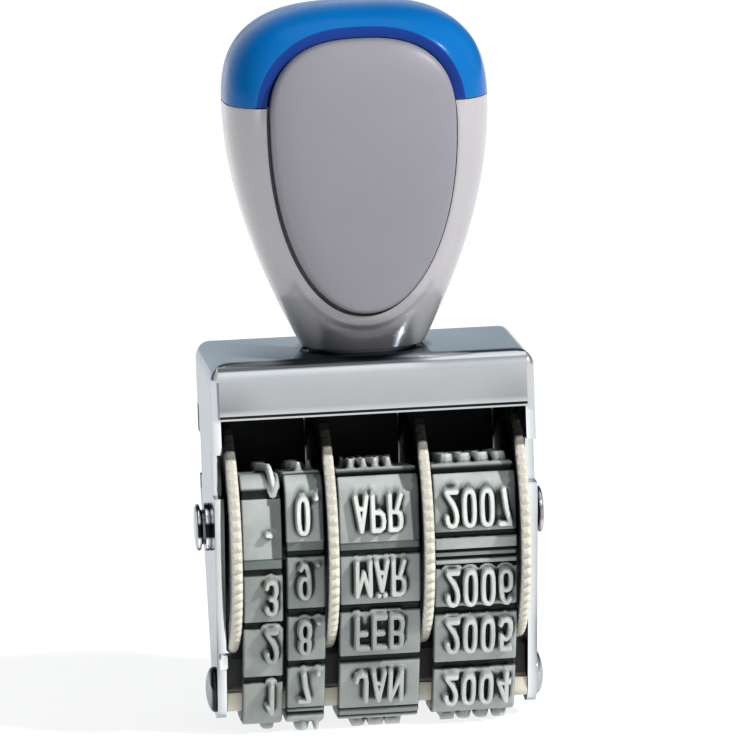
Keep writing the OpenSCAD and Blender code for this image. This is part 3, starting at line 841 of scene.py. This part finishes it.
washers = add_object("axle_rings", *join_meshes([ring_x(14.0, 14.42, 1.55, 2.1, AXLE_Z), ring_x(-14.42, -14.0, 1.55, 2.1, AXLE_Z)]))
clean(washers, sharp=50)
finish_piece(washers, "stamp", nickel_rim, "steel", "axle_washers")
set_tone(washers, head_tone(washers))


def rivet(sign):
    p = [(9.6, 0.0), (9.6, 0.8), (9.7, 0.9), (13.98, 0.9), (13.99, 1.96), (14.08, 2.0)]
    for a in np.linspace(8, 90, 12):
        t = math.radians(a)
        p.append((14.08 + 0.74 * math.sin(t), 2.0 * math.cos(t)))
    return [(sign * x, r) for x, r in p]


rivets = add_object("bridge_rivet_pair", *join_meshes([turned_x(rivet(1), 72, 0, RIVET_Z), turned_x(rivet(-1), 72, 0, RIVET_Z)]))
clean(rivets, sharp=50)
finish_piece(rivets, "stamp", nickel_rim, "steel", "bridge_rivets")
# painted reflection: a near-black band on the left rivet's dome
set_tone(rivets, np.interp([v.co.x / MM for v in rivets.data.vertices], [-14.9, -14.54, -14.36, -14.0, 14.0, 14.5], [0.50, 0.42, 0.02, 0.02, 0.40, 0.55]))


# ------------------------------------------------------------------ thumb wheels
def thumb_wheel(name, d0, d1, h0, h1):
    """Ribbed disc from d0 to d1 with its drum from h0 to h1, and the bore."""
    ribs, per = 72, 8
    seg = ribs * per
    th = 2 * np.pi * np.arange(seg) / seg
    wave = 0.5 + 0.5 * np.cos(th * ribs)
    wave = wave ** 0.7
    drum, bore = 3.2, 1.56
    R, deep = 11.1, 0.40
    w = d1 - d0
    prof = []

    def rim(x, r, k):
        prof.append((x, r, k))

    flip = h0 < d0  # drum lies on the low side of the disc
    lo_is_drum = flip
    # low face of the disc
    def face(x, inward, from_drum):
        start = drum if from_drum else bore
        s = 1 if inward > 0 else -1
        pts = [(x, start + 0.05), (x, 7.3)] if from_drum else [(x, bore + 0.15), (x, 3.2), (x + s * 0.14, 3.4), (x + s * 0.14, 8.9), (x, 9.15)]
        if from_drum:
            pts = [(x, drum), (x, 7.6), (x + s * 0.08, 7.75), (x + s * 0.08, 9.0), (x, 9.15)]
        return pts

    path = []
    if lo_is_drum:
        path += [(h0 + 0.1, bore), (h0, bore + 0.1), (h0, drum - 0.15), (h0 + 0.15, drum)]
    else:
        path += [(d0 + 0.1, bore), (d0, bore + 0.1)]
    k = [0.0] * len(path)
    low = face(d0, 1, lo_is_drum)
    if not lo_is_drum:
        low = low[1:]
    path += low; k += [0.0] * len(low)
    rim_pts = [(d0, R - 0.62, 0.0), (d0 + 0.02, R - 0.34, 0.35), (d0 + 0.09, R - 0.14, 0.8), (d0 + 0.20, R - 0.04, 1.0), (d0 + w / 2, R, 1.0),
               (d1 - 0.20, R - 0.04, 1.0), (d1 - 0.09, R - 0.14, 0.8), (d1 - 0.02, R - 0.34, 0.35), (d1, R - 0.62, 0.0)]
    for x, r, q in rim_pts:
        path.append((x, r)); k.append(q)
    high = face(d1, -1, not lo_is_drum)
    if lo_is_drum:
        high = high[1:]
    path += high[::-1]; k += [0.0] * len(high)
    if lo_is_drum:
        path += [(d1, bore + 0.1), (d1 - 0.1, bore)]
    else:
        path += [(h1 - 0.15, drum), (h1, drum - 0.15), (h1, bore + 0.1), (h1 - 0.1, bore)]
    k += [0.0] * (len(path) - len(k))
    rings = []
    for (x, r), q in zip(path, k):
        rr = r - deep * q * (1 - wave)
        rings.append(np.column_stack([np.full(seg, x), rr * np.cos(th), AXLE_Z + rr * np.sin(th)]))
    v, f = loft([[tuple(p) for p in r] for r in rings], wrap=True)
    obj = add_object(name, v, f)
    clean(obj, sharp=60)
    # painted shade on the wheels: rim is 1 on the rim and falls to 0 down the sides, dot marks the rib valleys in the
    # middle of the rim
    at = obj.data.attributes.new("rim", "FLOAT", "POINT")
    co = np.array([v.co for v in obj.data.vertices]) / MM
    dist = np.hypot(co[:, 1], co[:, 2] - AXLE_Z)
    at.data.foreach_set("value", np.clip((dist - (R - 1.3)) / 0.80, 0, 1).astype(np.float32))
    at = obj.data.attributes.new("dot", "FLOAT", "POINT")
    mid = np.abs(co[:, 0] - (d0 + w / 2)) < 0.05
    at.data.foreach_set("value", (mid * np.clip((dist - (R - deep)) / deep, 0, 1) ** 2).astype(np.float32))
    return obj


for name, body, span in (("day_tens", "day_tens", (-13.0, -12.1, -12.1, -8.35)), ("day_units", "day_units", (-4.65, -3.75, -8.25, -4.65)),
                         ("month", "month", (3.6, 4.5, -3.65, 3.6)), ("year", "year", (12.0, 12.85, 4.6, 12.0))):
    wheel = thumb_wheel(name + "_thumb_wheel", *span)
    finish_piece(wheel, body, ivory, "ivory_plastic", name + "_wheel")

# ------------------------------------------------------------------ bands
TYPE_H, BAND_T, PAD_H = 1.15, 0.8, 0.35
LOOP_R, NOSE_R, NOSE_Y = 3.5, 0.8, 1.5
LOOP_Z = TYPE_H + BAND_T


def loop_halves():
    """Inner line of a band from the bridge's middle to the drum's top, in front and behind: rows of (radius, turn) or (0, length)."""
    def S(a):
        return math.sin(math.radians(a))

    def C(a):
        return math.cos(math.radians(a))

    rise = AXLE_Z + LOOP_R - LOOP_Z
    lean, run, tip, dip, cr = 26.0, 5.0, 1.0, 8.0, 0.7
    tan = S(dip) / C(dip)
    fy = NOSE_Y + NOSE_R * C(lean) + run * S(lean) - cr * (S(dip) + C(tip)) + LOOP_R * S(dip)
    fz = AXLE_Z + LOOP_R * C(dip) - LOOP_Z - NOSE_R * (1 - S(lean)) - run * C(lean) - cr * (C(dip) - S(tip))
    fc = C(tip) - C(lean)
    fr = (fz + fy * tan) / (S(lean) + S(tip) - fc * tan)
    ft = (fy + fr * fc) / C(dip)
    front = [(0, NOSE_Y), (NOSE_R, math.radians(90 - lean)), (0, run), (fr, math.radians(lean + tip)), (cr, math.radians(90 - tip + dip)), (0, ft)]
    lean, run, tip = 56.0, 4.0, 54.0
    ry = NOSE_Y + NOSE_R * C(lean) + run * S(lean) - LOOP_R * C(tip)
    rz = rise - NOSE_R * (1 - S(lean)) - run * C(lean) - LOOP_R * (1 - S(tip))
    det = (C(tip) - C(lean)) * C(tip) + S(tip) * (S(lean) + S(tip))
    rr = (rz * S(tip) - ry * C(tip)) / det
    off = (rz - rr * (S(lean) + S(tip))) / C(tip)
    rear = [(0, NOSE_Y), (NOSE_R, math.radians(90 - lean)), (0, run), (rr, math.radians(lean + tip)), (0, off), (LOOP_R, math.radians(90 - tip - dip))]
    return front, rear


def piece_length(g):
    return g[1] if g[0] == 0 else g[0] * g[1]


FRONT_HALF, REAR_HALF = loop_halves()
FRONT_L = sum(piece_length(g) for g in FRONT_HALF)
REAR_L = sum(piece_length(g) for g in REAR_HALF)
LOOP_L = FRONT_L + REAR_L


def walk(half, s):
    """Distance outwards, height and turn after the length s of a half."""
    y, z, t = 0.0, LOOP_Z, 0.0
    for i, g in enumerate(half):
        l = piece_length(g)
        last = s <= l or i == len(half) - 1
        d = s if last else l
        if g[0] == 0:
            y, z = y + d * math.cos(t), z + d * math.sin(t)
        else:
            t2 = t + d / g[0]
            y, z, t = y + g[0] * (math.sin(t2) - math.sin(t)), z + g[0] * (math.cos(t) - math.cos(t2)), t2
        if last:
            return y, z, t
        s -= l


def loop_at(s):
    """Point and outward normal in Y and Z at the length s from the middle of the bridge, front side first."""
    s = s % LOOP_L
    if s <= FRONT_L:
        y, z, t = walk(FRONT_HALF, s)
        return -y, z, -math.sin(t), -math.cos(t)
    y, z, t = walk(REAR_HALF, LOOP_L - s)
    return y, z, math.sin(t), -math.cos(t)


def oval(cx, cy, rx, ry, n=2.6, k=28):
    pts = []
    for i in range(k + 1):
        t = 2 * math.pi * i / k
        c, s = math.cos(t), math.sin(t)
        pts.append((cx + rx * math.copysign(abs(c) ** (2 / n), c), cy + ry * math.copysign(abs(s) ** (2 / n), s)))
    return pts


bow_p = [(0, 0), (0, 1), (.6, 1), (.92, .92), (1, .74), (.92, .55), (.6, .47), (0, .47)]
open_c = [(1, .8), (.9, .94), (.5, 1), (.12, .92), (0, .7), (0, .3), (.12, .08), (.5, 0), (.9, .06), (1, .2)]
GLYPHS = {
    "0": [oval(.5, .5, .5, .5, 3.0)],
    "1": [[(.55, 0), (.55, 1), (.12, .74)]],
    "2": [[(0, .74), (.05, .87), (.2, .97), (.5, 1), (.8, .97), (.96, .86), (1, .73), (.92, .56), (.66, .37), (.3, .19), (.06, .06), (0, 0), (1, 0)]],
    "3": [[(0, .84), (.13, .96), (.5, 1), (.85, .95), (.97, .8), (.94, .66), (.78, .56), (.42, .53), (.85, .48), (1, .34), (1, .2), (.88, .05), (.5, 0), (.12, .04), (0, .18)]],
    "4": [[(.74, 0), (.74, 1), (0, .3), (1, .3)]],
    "5": [[(.95, 1), (.12, 1), (.06, .56), (.3, .63), (.6, .64), (.9, .54), (1, .35), (.96, .15), (.8, .03), (.5, 0), (.15, .03), (0, .16)]],
    "6": [oval(.5, .3, .5, .3), [(0, .32), (.02, .6), (.14, .85), (.38, .98), (.65, 1), (.92, .88)]],
    "7": [[(0, 1), (1, 1), (.62, .5), (.42, 0)]],
    "8": [oval(.5, .77, .44, .23), oval(.5, .27, .5, .27)],
    "9": [oval(.5, .7, .5, .3), [(1, .68), (.98, .4), (.86, .15), (.62, .02), (.35, 0), (.08, .12)]],
    "A": [[(0, 0), (.5, 1), (1, 0)], [(.2, .34), (.8, .34)]],
    "a": [[(0, 0), (.5, .86), (1, 0)], [(.2, .3), (.8, .3)], [(.2, 1.02), (.24, 1.02)], [(.76, 1.02), (.8, 1.02)]],
    "B": [[(0, 0), (0, 1), (.6, 1), (.9, .92), (.95, .77), (.88, .6), (.6, .53), (0, .53)], [(.6, .53), (.92, .45), (1, .27), (.92, .07), (.6, 0), (0, 0)]],
    "C": [open_c],
    "D": [[(0, 0), (0, 1), (.5, 1), (.85, .9), (1, .65), (1, .35), (.85, .1), (.5, 0), (0, 0)]],
    "E": [[(1, 1), (0, 1), (0, 0), (1, 0)], [(0, .52), (.8, .52)]],
    "F": [[(1, 1), (0, 1), (0, 0)], [(0, .52), (.8, .52)]],
    "G": [open_c, [(1, .2), (1, .45), (.55, .45)]],
    "I": [[(.5, 0), (.5, 1)]],
    "J": [[(.9, 1), (.9, .25), (.8, .07), (.45, 0), (.12, .06), (0, .25)]],
    "K": [[(0, 0), (0, 1)], [(1, 1), (0, .4)], [(.3, .58), (1, 0)]],
    "L": [[(0, 1), (0, 0), (1, 0)]],
    "M": [[(0, 0), (0, 1), (.5, .3), (1, 1), (1, 0)]],
    "N": [[(0, 0), (0, 1), (1, 0), (1, 1)]],
    "O": [oval(.5, .5, .5, .5, 2.6)],
    "P": [bow_p],
    "R": [bow_p, [(.55, .47), (1, 0)]],
    "S": [[(1, .82), (.88, .95), (.5, 1), (.12, .95), (0, .78), (.08, .6), (.5, .5), (.92, .4), (1, .22), (.88, .05), (.5, 0), (.12, .05), (0, .18)]],
    "T": [[(0, 1), (1, 1)], [(.5, 1), (.5, 0)]],
    "U": [[(0, 1), (0, .25), (.12, .06), (.5, 0), (.88, .06), (1, .25), (1, 1)]],
    "V": [[(0, 1), (.5, 0), (1, 1)]],
    "Z": [[(0, 1), (1, 1), (0, 0), (1, 0)]],
    ".": [[(.45, 0), (.55, 0)]],
    "o": [[(.20, 0), (.66, 0.02)]],
    "/": [[(0, 0), (1, 1)]],
}


def stroke_distance(px, py, lines):
    best = np.full(px.shape, 9.0)
    for pts in lines:
        for (x0, y0), (x1, y1) in zip(pts[:-1], pts[1:]):
            dx, dy = x1 - x0, y1 - y0
            l2 = max(dx * dx + dy * dy, 1e-9)
            t = np.clip(((px - x0) * dx + (py - y0) * dy) / l2, 0, 1)
            best = np.minimum(best, np.hypot(px - x0 - t * dx, py - y0 - t * dy))
    return best


FACE_R, WALL_W, FOOT_W, FOOT_H = 0.145, 0.18, 0.26, 0.10
CHAR_H = 2.85


def soften(a, ws, wx):
    """Gaussian blur of a height field that closes on itself along the band."""
    for axis, w in ((0, ws), (1, wx)):
        n = int(math.ceil(2.5 * w))
        k = np.exp(-0.5 * (np.arange(-n, n + 1) / w) ** 2)
        k /= k.sum()
        if axis == 0:
            a = sum(c * np.roll(a, i - n, axis=0) for i, c in enumerate(k))
        else:
            pad = np.pad(a, ((0, 0), (n, n)), mode="edge")
            a = sum(c * pad[:, i:i + a.shape[1]] for i, c in enumerate(k))
    return a


def shade_beside(S, X, x1, dark):
    """Painted shadow of the wheel at the band's right edge: dark is a list of (length, width) along the band."""
    s, w = [q[0] for q in dark], [q[1] for q in dark]
    wide = np.interp(S, s, w, left=0.0, right=0.0)
    k = np.clip((X - (x1 - wide)) / 0.14, 0, 1)
    return k * k * (3 - 2 * k) * (wide > 0.02)


def band_piece(name, x0, x1, places, dark, pad_shade, ds=0.062, dx=0.057):
    """Endless band: places is a list of (start and end of the pad, height of the pad, middle of the text, text items),
    an item being (glyph, left, width); pad_shade is a list of (start, end, painted shade on the pad, painted shade on
    the type's faces).
    """
    nx = int(round((x1 - x0) / dx)) + 1
    ns = int(round(LOOP_L / ds))
    xs = np.linspace(x0, x1, nx)
    ss = np.arange(ns) * LOOP_L / ns
    S, X = np.meshgrid(ss, xs, indexing="ij")
    relief = np.zeros(S.shape)
    for lo, hi, high, mid, items in places:
        half = (hi - lo) / 2
        d = (S - (lo + hi) / 2 + LOOP_L / 2) % LOOP_L - LOOP_L / 2
        edge = np.clip((half - np.abs(d)) / 0.15, 0, 1)
        relief = np.maximum(relief, high * (edge * edge * (3 - 2 * edge)))
        d = (S - mid + LOOP_L / 2) % LOOP_L - LOOP_L / 2
        half = CHAR_H / 2 + 0.75
        rows = np.where(np.abs(d[:, 0]) < half)[0]
        for glyph, left, width in items:
            cols = np.where((xs > left - 0.7) & (xs < left + width + 0.7))[0]
            if len(cols) == 0 or len(rows) == 0:
                continue
            sub = np.ix_(rows, cols)
            lines = [[(left + px * width, (py - 0.5) * CHAR_H) for px, py in pts] for pts in GLYPHS[glyph]]
            dist = stroke_distance(X[sub], -d[sub], lines)
            # steep wall from the narrow face down to a low sloping foot
            k = np.clip((FACE_R + WALL_W - dist) / WALL_W, 0, 1)
            k = 0.6 * k + 0.4 * k * k * (3 - 2 * k)
            foot = FOOT_H * np.clip((FACE_R + WALL_W + FOOT_W - dist) / FOOT_W, 0, 1)
            rise = foot + (TYPE_H - PAD_H - FOOT_H) * k
            relief[sub] = np.maximum(relief[sub], np.where(rise > 0.02, PAD_H + rise, 0))
    # painted shade: dark in the counters and hollows beside the type and over whole places, and the wheels' painted
    # shadows at the right edge
    deep = np.clip((soften(relief, 0.25 / (LOOP_L / ns), 0.25 / ((x1 - x0) / (nx - 1))) - relief - 0.05) / 0.15, 0, 1)
    shade_paint, type_shade = np.zeros((ns, 1)), np.zeros((ns, 1))
    for lo, hi, a, b in pad_shade:
        here = (ss > lo - 0.2) & (ss < hi + 0.2)
        shade_paint[here], type_shade[here] = a, b
    deep = np.maximum(np.clip(deep * (1 + 0.6 * type_shade) + shade_paint * (1 - deep), 0, 1), 0.60 * shade_beside(S, X, x1, dark))
    side = np.minimum(xs - x0, x1 - xs)
    relief = relief - 0.12 * np.clip(1 - side / 0.12, 0, 1)[None, :]
    frames = np.array([loop_at(s) for s in ss])
    off = BAND_T + relief
    Y = frames[:, 0:1] + frames[:, 2:3] * off
    Z = frames[:, 1:2] + frames[:, 3:4] * off
    outer = np.stack([X, Y, Z], axis=2).reshape(-1, 3)
    in_a = np.column_stack([np.full(ns, x0), frames[:, 0], frames[:, 1]])
    in_b = np.column_stack([np.full(ns, x1), frames[:, 0], frames[:, 1]])
    verts = np.vstack([outer, in_a, in_b]) * MM
    i = np.arange(ns)
    i2 = (i + 1) % ns
    quads = []
    j = np.arange(nx - 1)
    A = (i[:, None] * nx + j[None, :]).ravel()
    B = (i[:, None] * nx + j[None, :] + 1).ravel()
    C = (i2[:, None] * nx + j[None, :] + 1).ravel()
    D = (i2[:, None] * nx + j[None, :]).ravel()
    quads.append(np.column_stack([A, B, C, D]))
    na, nb = ns * nx, ns * nx + ns
    quads.append(np.column_stack([na + i, i * nx, i2 * nx, na + i2]))
    quads.append(np.column_stack([i * nx + nx - 1, nb + i, nb + i2, i2 * nx + nx - 1]))
    quads.append(np.column_stack([nb + i, na + i, na + i2, nb + i2]))
    q = np.vstack(quads).astype(np.int32)
    mesh = bpy.data.meshes.new(name)
    mesh.vertices.add(len(verts))
    mesh.vertices.foreach_set("co", verts.ravel())
    mesh.loops.add(q.size)
    mesh.loops.foreach_set("vertex_index", q.ravel())
    mesh.polygons.add(len(q))
    mesh.polygons.foreach_set("loop_start", np.arange(len(q), dtype=np.int32) * 4)
    mesh.update(calc_edges=True)
    mesh.validate()
    at = mesh.attributes.new("relief", "FLOAT", "POINT")
    pale = np.clip(relief / TYPE_H, 0, 1)
    pale = np.where(pale > 0.66, 0.66 + (pale - 0.66) * (1 - type_shade), pale)
    vals = np.concatenate([pale.ravel(), np.full(2 * ns, 0.15)])
    at.data.foreach_set("value", vals.astype(np.float32))
    at = mesh.attributes.new("cavity", "FLOAT", "POINT")
    at.data.foreach_set("value", np.concatenate([deep.ravel(), np.full(2 * ns, 0.5)]).astype(np.float32))
    mesh.polygons.foreach_set("use_smooth", np.ones(len(mesh.polygons), dtype=bool))
    obj = bpy.data.objects.new(name, mesh)
    scene.collection.objects.link(obj)
    bm = bmesh.new()
    bm.from_mesh(mesh)
    bmesh.ops.recalc_face_normals(bm, faces=bm.faces)
    bm.to_mesh(mesh)
    bm.free()
    mesh.set_sharp_from_angle(angle=math.radians(50))
    return obj




def row(text, left, width, gap):
    items, x = [], left
    for ch in text:
        w = width * (0.25 if ch in ".I" else 1.2 if ch == "M" else 1.0)
        if ch != " ":
            items.append((ch, x, w))
        x += w + gap
    return items


T0, T1 = -11.92, -8.5
U0, U1 = -8.1, -4.82
M0, M1 = -3.55, 3.44
Y0, Y1 = 4.68, 11.84
GLYPHS["-"] = [[(0, .5), (1, .5)]]



def places_of(front, texts, left, width, gap):
    """Places of a band: the ones in front as (start, end, middle of the text), the others evenly round the rest of the loop."""
    out = list(front)
    start, end = front[-1][1] + 0.3, LOOP_L + front[0][0] - 0.3
    cell = (end - start) / (len(texts) - len(front))
    for i in range(len(texts) - len(front)):
        m = start + cell * (i + 0.5)
        out.append((m - cell / 2 + 0.25, m + cell / 2 - 0.25, m))
    return [(lo, hi, PAD_H, mid, row(text, left, width, gap)) for (lo, hi, mid), text in zip(out, texts)]


tens_places = places_of([(1.5, 5.85, 4.4), (6.45, 11.45, 9.9), (11.95, 16.35, 14.5), (17.65, 23.0, 18.55), (23.22, 27.9, 24.9)],
                        ["1", "2", "3", "o", "/", "0", "1", "2", "3", "o", "/", "0"], T1 - 1.45, 0.80, 0.0)
units_places = places_of([(2.85, 7.35, 5.5), (7.95, 12.45, 10.6), (13.05, 17.85, 15.8), (19.0, 23.98, 21.4), (24.2, 28.9, 26.3)],
                         ["7.", "8.", "9.", "0.", "1.", "2.", "3.", "4.", "5.", "/", "-", "6."], U0 + 1.05, 0.78, 0.69)
month_places = places_of([(2.45, 7.5, 5.15), (8.1, 12.55, 10.75), (13.15, 17.65, 15.7), (18.65, 23.72, 21.3), (23.95, 28.6, 26.1)],
                         ["JAN", "FEB", "MaR", "APR", "MAI", "JUN", "JUL", "AUG", "SEP", "OKT", "NOV", "DEZ"], M0 + 1.42, 0.95, 0.53)
year_places = places_of([(1.85, 6.25, 4.3), (6.9, 11.85, 9.9), (12.45, 16.08, 14.4), (19.15, 23.62, 21.3), (23.86, 28.4, 26.0)],
                        [str(y) for y in (2004, 2005, 2006, 2007, 2008, 2009, 2010, 2011, 2012, 2013, 2014, 2003)], Y0 + 1.06, 0.86, 0.68)
# low ledges in the wider grooves
for places, lo, hi, high in ((tens_places, 16.72, 17.9, 0.20), (units_places, 18.2, 19.2, 0.20), (month_places, 17.98, 18.9, 0.20),
                             (units_places, 2.32, 2.83, 0.25), (month_places, 1.92, 2.43, 0.25)):
    places.append((lo, hi, high, (lo + hi) / 2, []))
# joint of the year band, between two years: low ridges
for lo, hi, high in ((16.33, 16.86, 0.42), (16.98, 17.52, 0.24), (17.66, 18.78, 0.46)):
    year_places.append((lo, hi, high, (lo + hi) / 2, []))

# painted shadow of the wheel on each band's right edge: (length along the band, width)
tens_dark = [(17.6, 0.0), (17.7, 0.95), (22.3, 1.05), (22.35, 1.25), (22.95, 1.25), (23.0, 0.0)]
units_dark = [(19.1, 0.0), (19.2, 0.45), (23.1, 0.55), (23.2, 1.25), (23.9, 1.45), (23.95, 0.0)]
month_dark = [(18.5, 0.0), (18.7, 0.65), (22.9, 0.85), (23.1, 1.5), (23.65, 1.75), (23.7, 0.0)]
year_dark = [(19.1, 0.0), (19.3, 0.40), (22.8, 0.60), (23.0, 1.2), (23.55, 1.6), (23.6, 0.0)]
# painted shade over the lower places in front: (start, end, on the pad, on the type's faces)
tens_shade = [(1.5, 5.85, 0.20, 0.20), (6.45, 11.45, 0.21, 0.70), (11.95, 16.35, 0.23, 0.15)]
units_shade = [(2.85, 7.35, 0.16, 0.15), (7.95, 12.45, 0.22, 0.65), (13.05, 17.85, 0.24, 0.50)]
month_shade = [(2.45, 7.5, 0.15, 0.25), (8.1, 12.55, 0.18, 0.75), (13.15, 17.65, 0.06, 0.25)]
year_shade = [(1.85, 6.25, 0.05, 0.15), (6.9, 11.85, 0.07, 0.20), (12.45, 16.08, 0.04, 0.10)]
for name, a, b, places, spots, places_shade in (("day_tens", T0, T1, tens_places, tens_dark, tens_shade), ("day_units", U0, U1, units_places, units_dark, units_shade),
                                       ("month", M0, M1, month_places, month_dark, month_shade), ("year", Y0, Y1, year_places, year_dark, year_shade)):
    piece = band_piece(name + "_type_band", a, b, places, spots, places_shade)
    finish_piece(piece, "stamp", band_mat, "band_rubber", name + "_band")

# ------------------------------------------------------------------ CAD nodes that stay
# painted shade: the bridge is ivory low down and near black higher up, with a noisy border
bridge_mat, nt, bsdf, coord = new_material("bridge_moulding")
sep = nt.nodes.new("ShaderNodeSeparateXYZ")
nt.links.new(coord.outputs["Object"], sep.inputs["Vector"])
shade_paint = noise(nt, coord, 700.0, 3.0, 0.6)
edge = nt.nodes.new("ShaderNodeMath")
edge.operation = "MULTIPLY_ADD"
edge.inputs[1].default_value = 0.0004
nt.links.new(shade_paint.outputs["Fac"], edge.inputs[0])
nt.links.new(sep.outputs["Z"], edge.inputs[2])
level = map_range(nt, edge.outputs["Value"], 0.0, 1.0, 0.0036, 0.0044)
col = ramp(nt, level.outputs["Result"], [(0.0, (0.62, 0.59, 0.48)), (0.35, (0.52, 0.49, 0.39)), (0.75, (0.05, 0.048, 0.045)), (1.0, (0.014, 0.014, 0.015))])
nt.links.new(col.outputs["Color"], bsdf.inputs["Base Color"])
bsdf.inputs["Roughness"].default_value = 0.45

for node, mat in (("bridge", bridge_mat), ("handle_neck", dark), ("handle_screw", nickel), ("handle_nut", nickel), ("screw_washer", nickel), ("spring_washer", nickel)):
    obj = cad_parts[node]
    obj.data.materials.clear()
    obj.data.materials.append(mat)

# ------------------------------------------------------------------ floor, light
floor_mat, nt, bsdf, coord = new_material("floor_paper")
cloud = noise(nt, coord, 30.0, 3.0, 0.5)
col = ramp(nt, cloud.outputs["Fac"], [(0.3, (0.20, 0.20, 0.2005)), (0.7, (0.215, 0.215, 0.2155))])
nt.links.new(col.outputs["Color"], bsdf.inputs["Base Color"])
bsdf.inputs["Roughness"].default_value = 0.8
bsdf.inputs["Emission Color"].default_value = (1.0, 1.0, 1.0, 1.0)
bsdf.inputs["Emission Strength"].default_value = 0.80
bm = bmesh.new()
bmesh.ops.create_grid(bm, x_segments=8, y_segments=8, size=3.0)
mesh = bpy.data.meshes.new("floor")
bm.to_mesh(mesh)
bm.free()
floor = bpy.data.objects.new("floor", mesh)
mesh.materials.append(floor_mat)
scene.collection.objects.link(floor)

world = bpy.data.worlds.new("studio")
scene.world = world
world.use_nodes = True
wn = world.node_tree
bg = wn.nodes["Background"]
wc = wn.nodes.new("ShaderNodeTexCoord")
turn = wn.nodes.new("ShaderNodeMapping")
turn.inputs["Rotation"].default_value = (0.0, 0.0, math.radians(-20))
wn.links.new(wc.outputs["Generated"], turn.inputs["Vector"])
sep = wn.nodes.new("ShaderNodeSeparateXYZ")
wn.links.new(turn.outputs["Vector"], sep.inputs["Vector"])
span = map_range(wn, sep.outputs["Y"], 0.0, 1.0, -1.0, 1.0)
sky = ramp(wn, span.outputs["Result"], [(0.0, (1.04, 1.05, 1.07)), (0.10, (1.0, 1.01, 1.03)), (0.22, (0.66, 0.67, 0.69)), (0.46, (0.56, 0.58, 0.61)), (0.60, (0.26, 0.29, 0.32)),
                                        (0.70, (0.05, 0.06, 0.07)), (0.82, (0.06, 0.072, 0.082)), (0.89, (0.32, 0.37, 0.40)), (0.94, (0.64, 0.71, 0.74)), (1.0, (0.70, 0.77, 0.81))])
wn.links.new(sky.outputs["Color"], bg.inputs["Color"])
bg.inputs["Strength"].default_value = 1.0


def lamp(name, towards, power, spread, color=(1, 1, 1)):
    """Distant soft light; towards points from the part to the light."""
    l = bpy.data.lights.new(name, "SUN")
    l.energy = power
    l.angle = math.radians(spread)
    l.color = color
    o = bpy.data.objects.new(name, l)
    o.rotation_euler = Vector(towards).to_track_quat("Z", "Y").to_euler()
    scene.collection.objects.link(o)
    return o


lamp("key", (0.60, -0.55, 0.58), 3.0, 4.0, (1.0, 0.99, 0.975))
lamp("top", (-0.05, 0.0, 1.0), 0.35, 46.0)
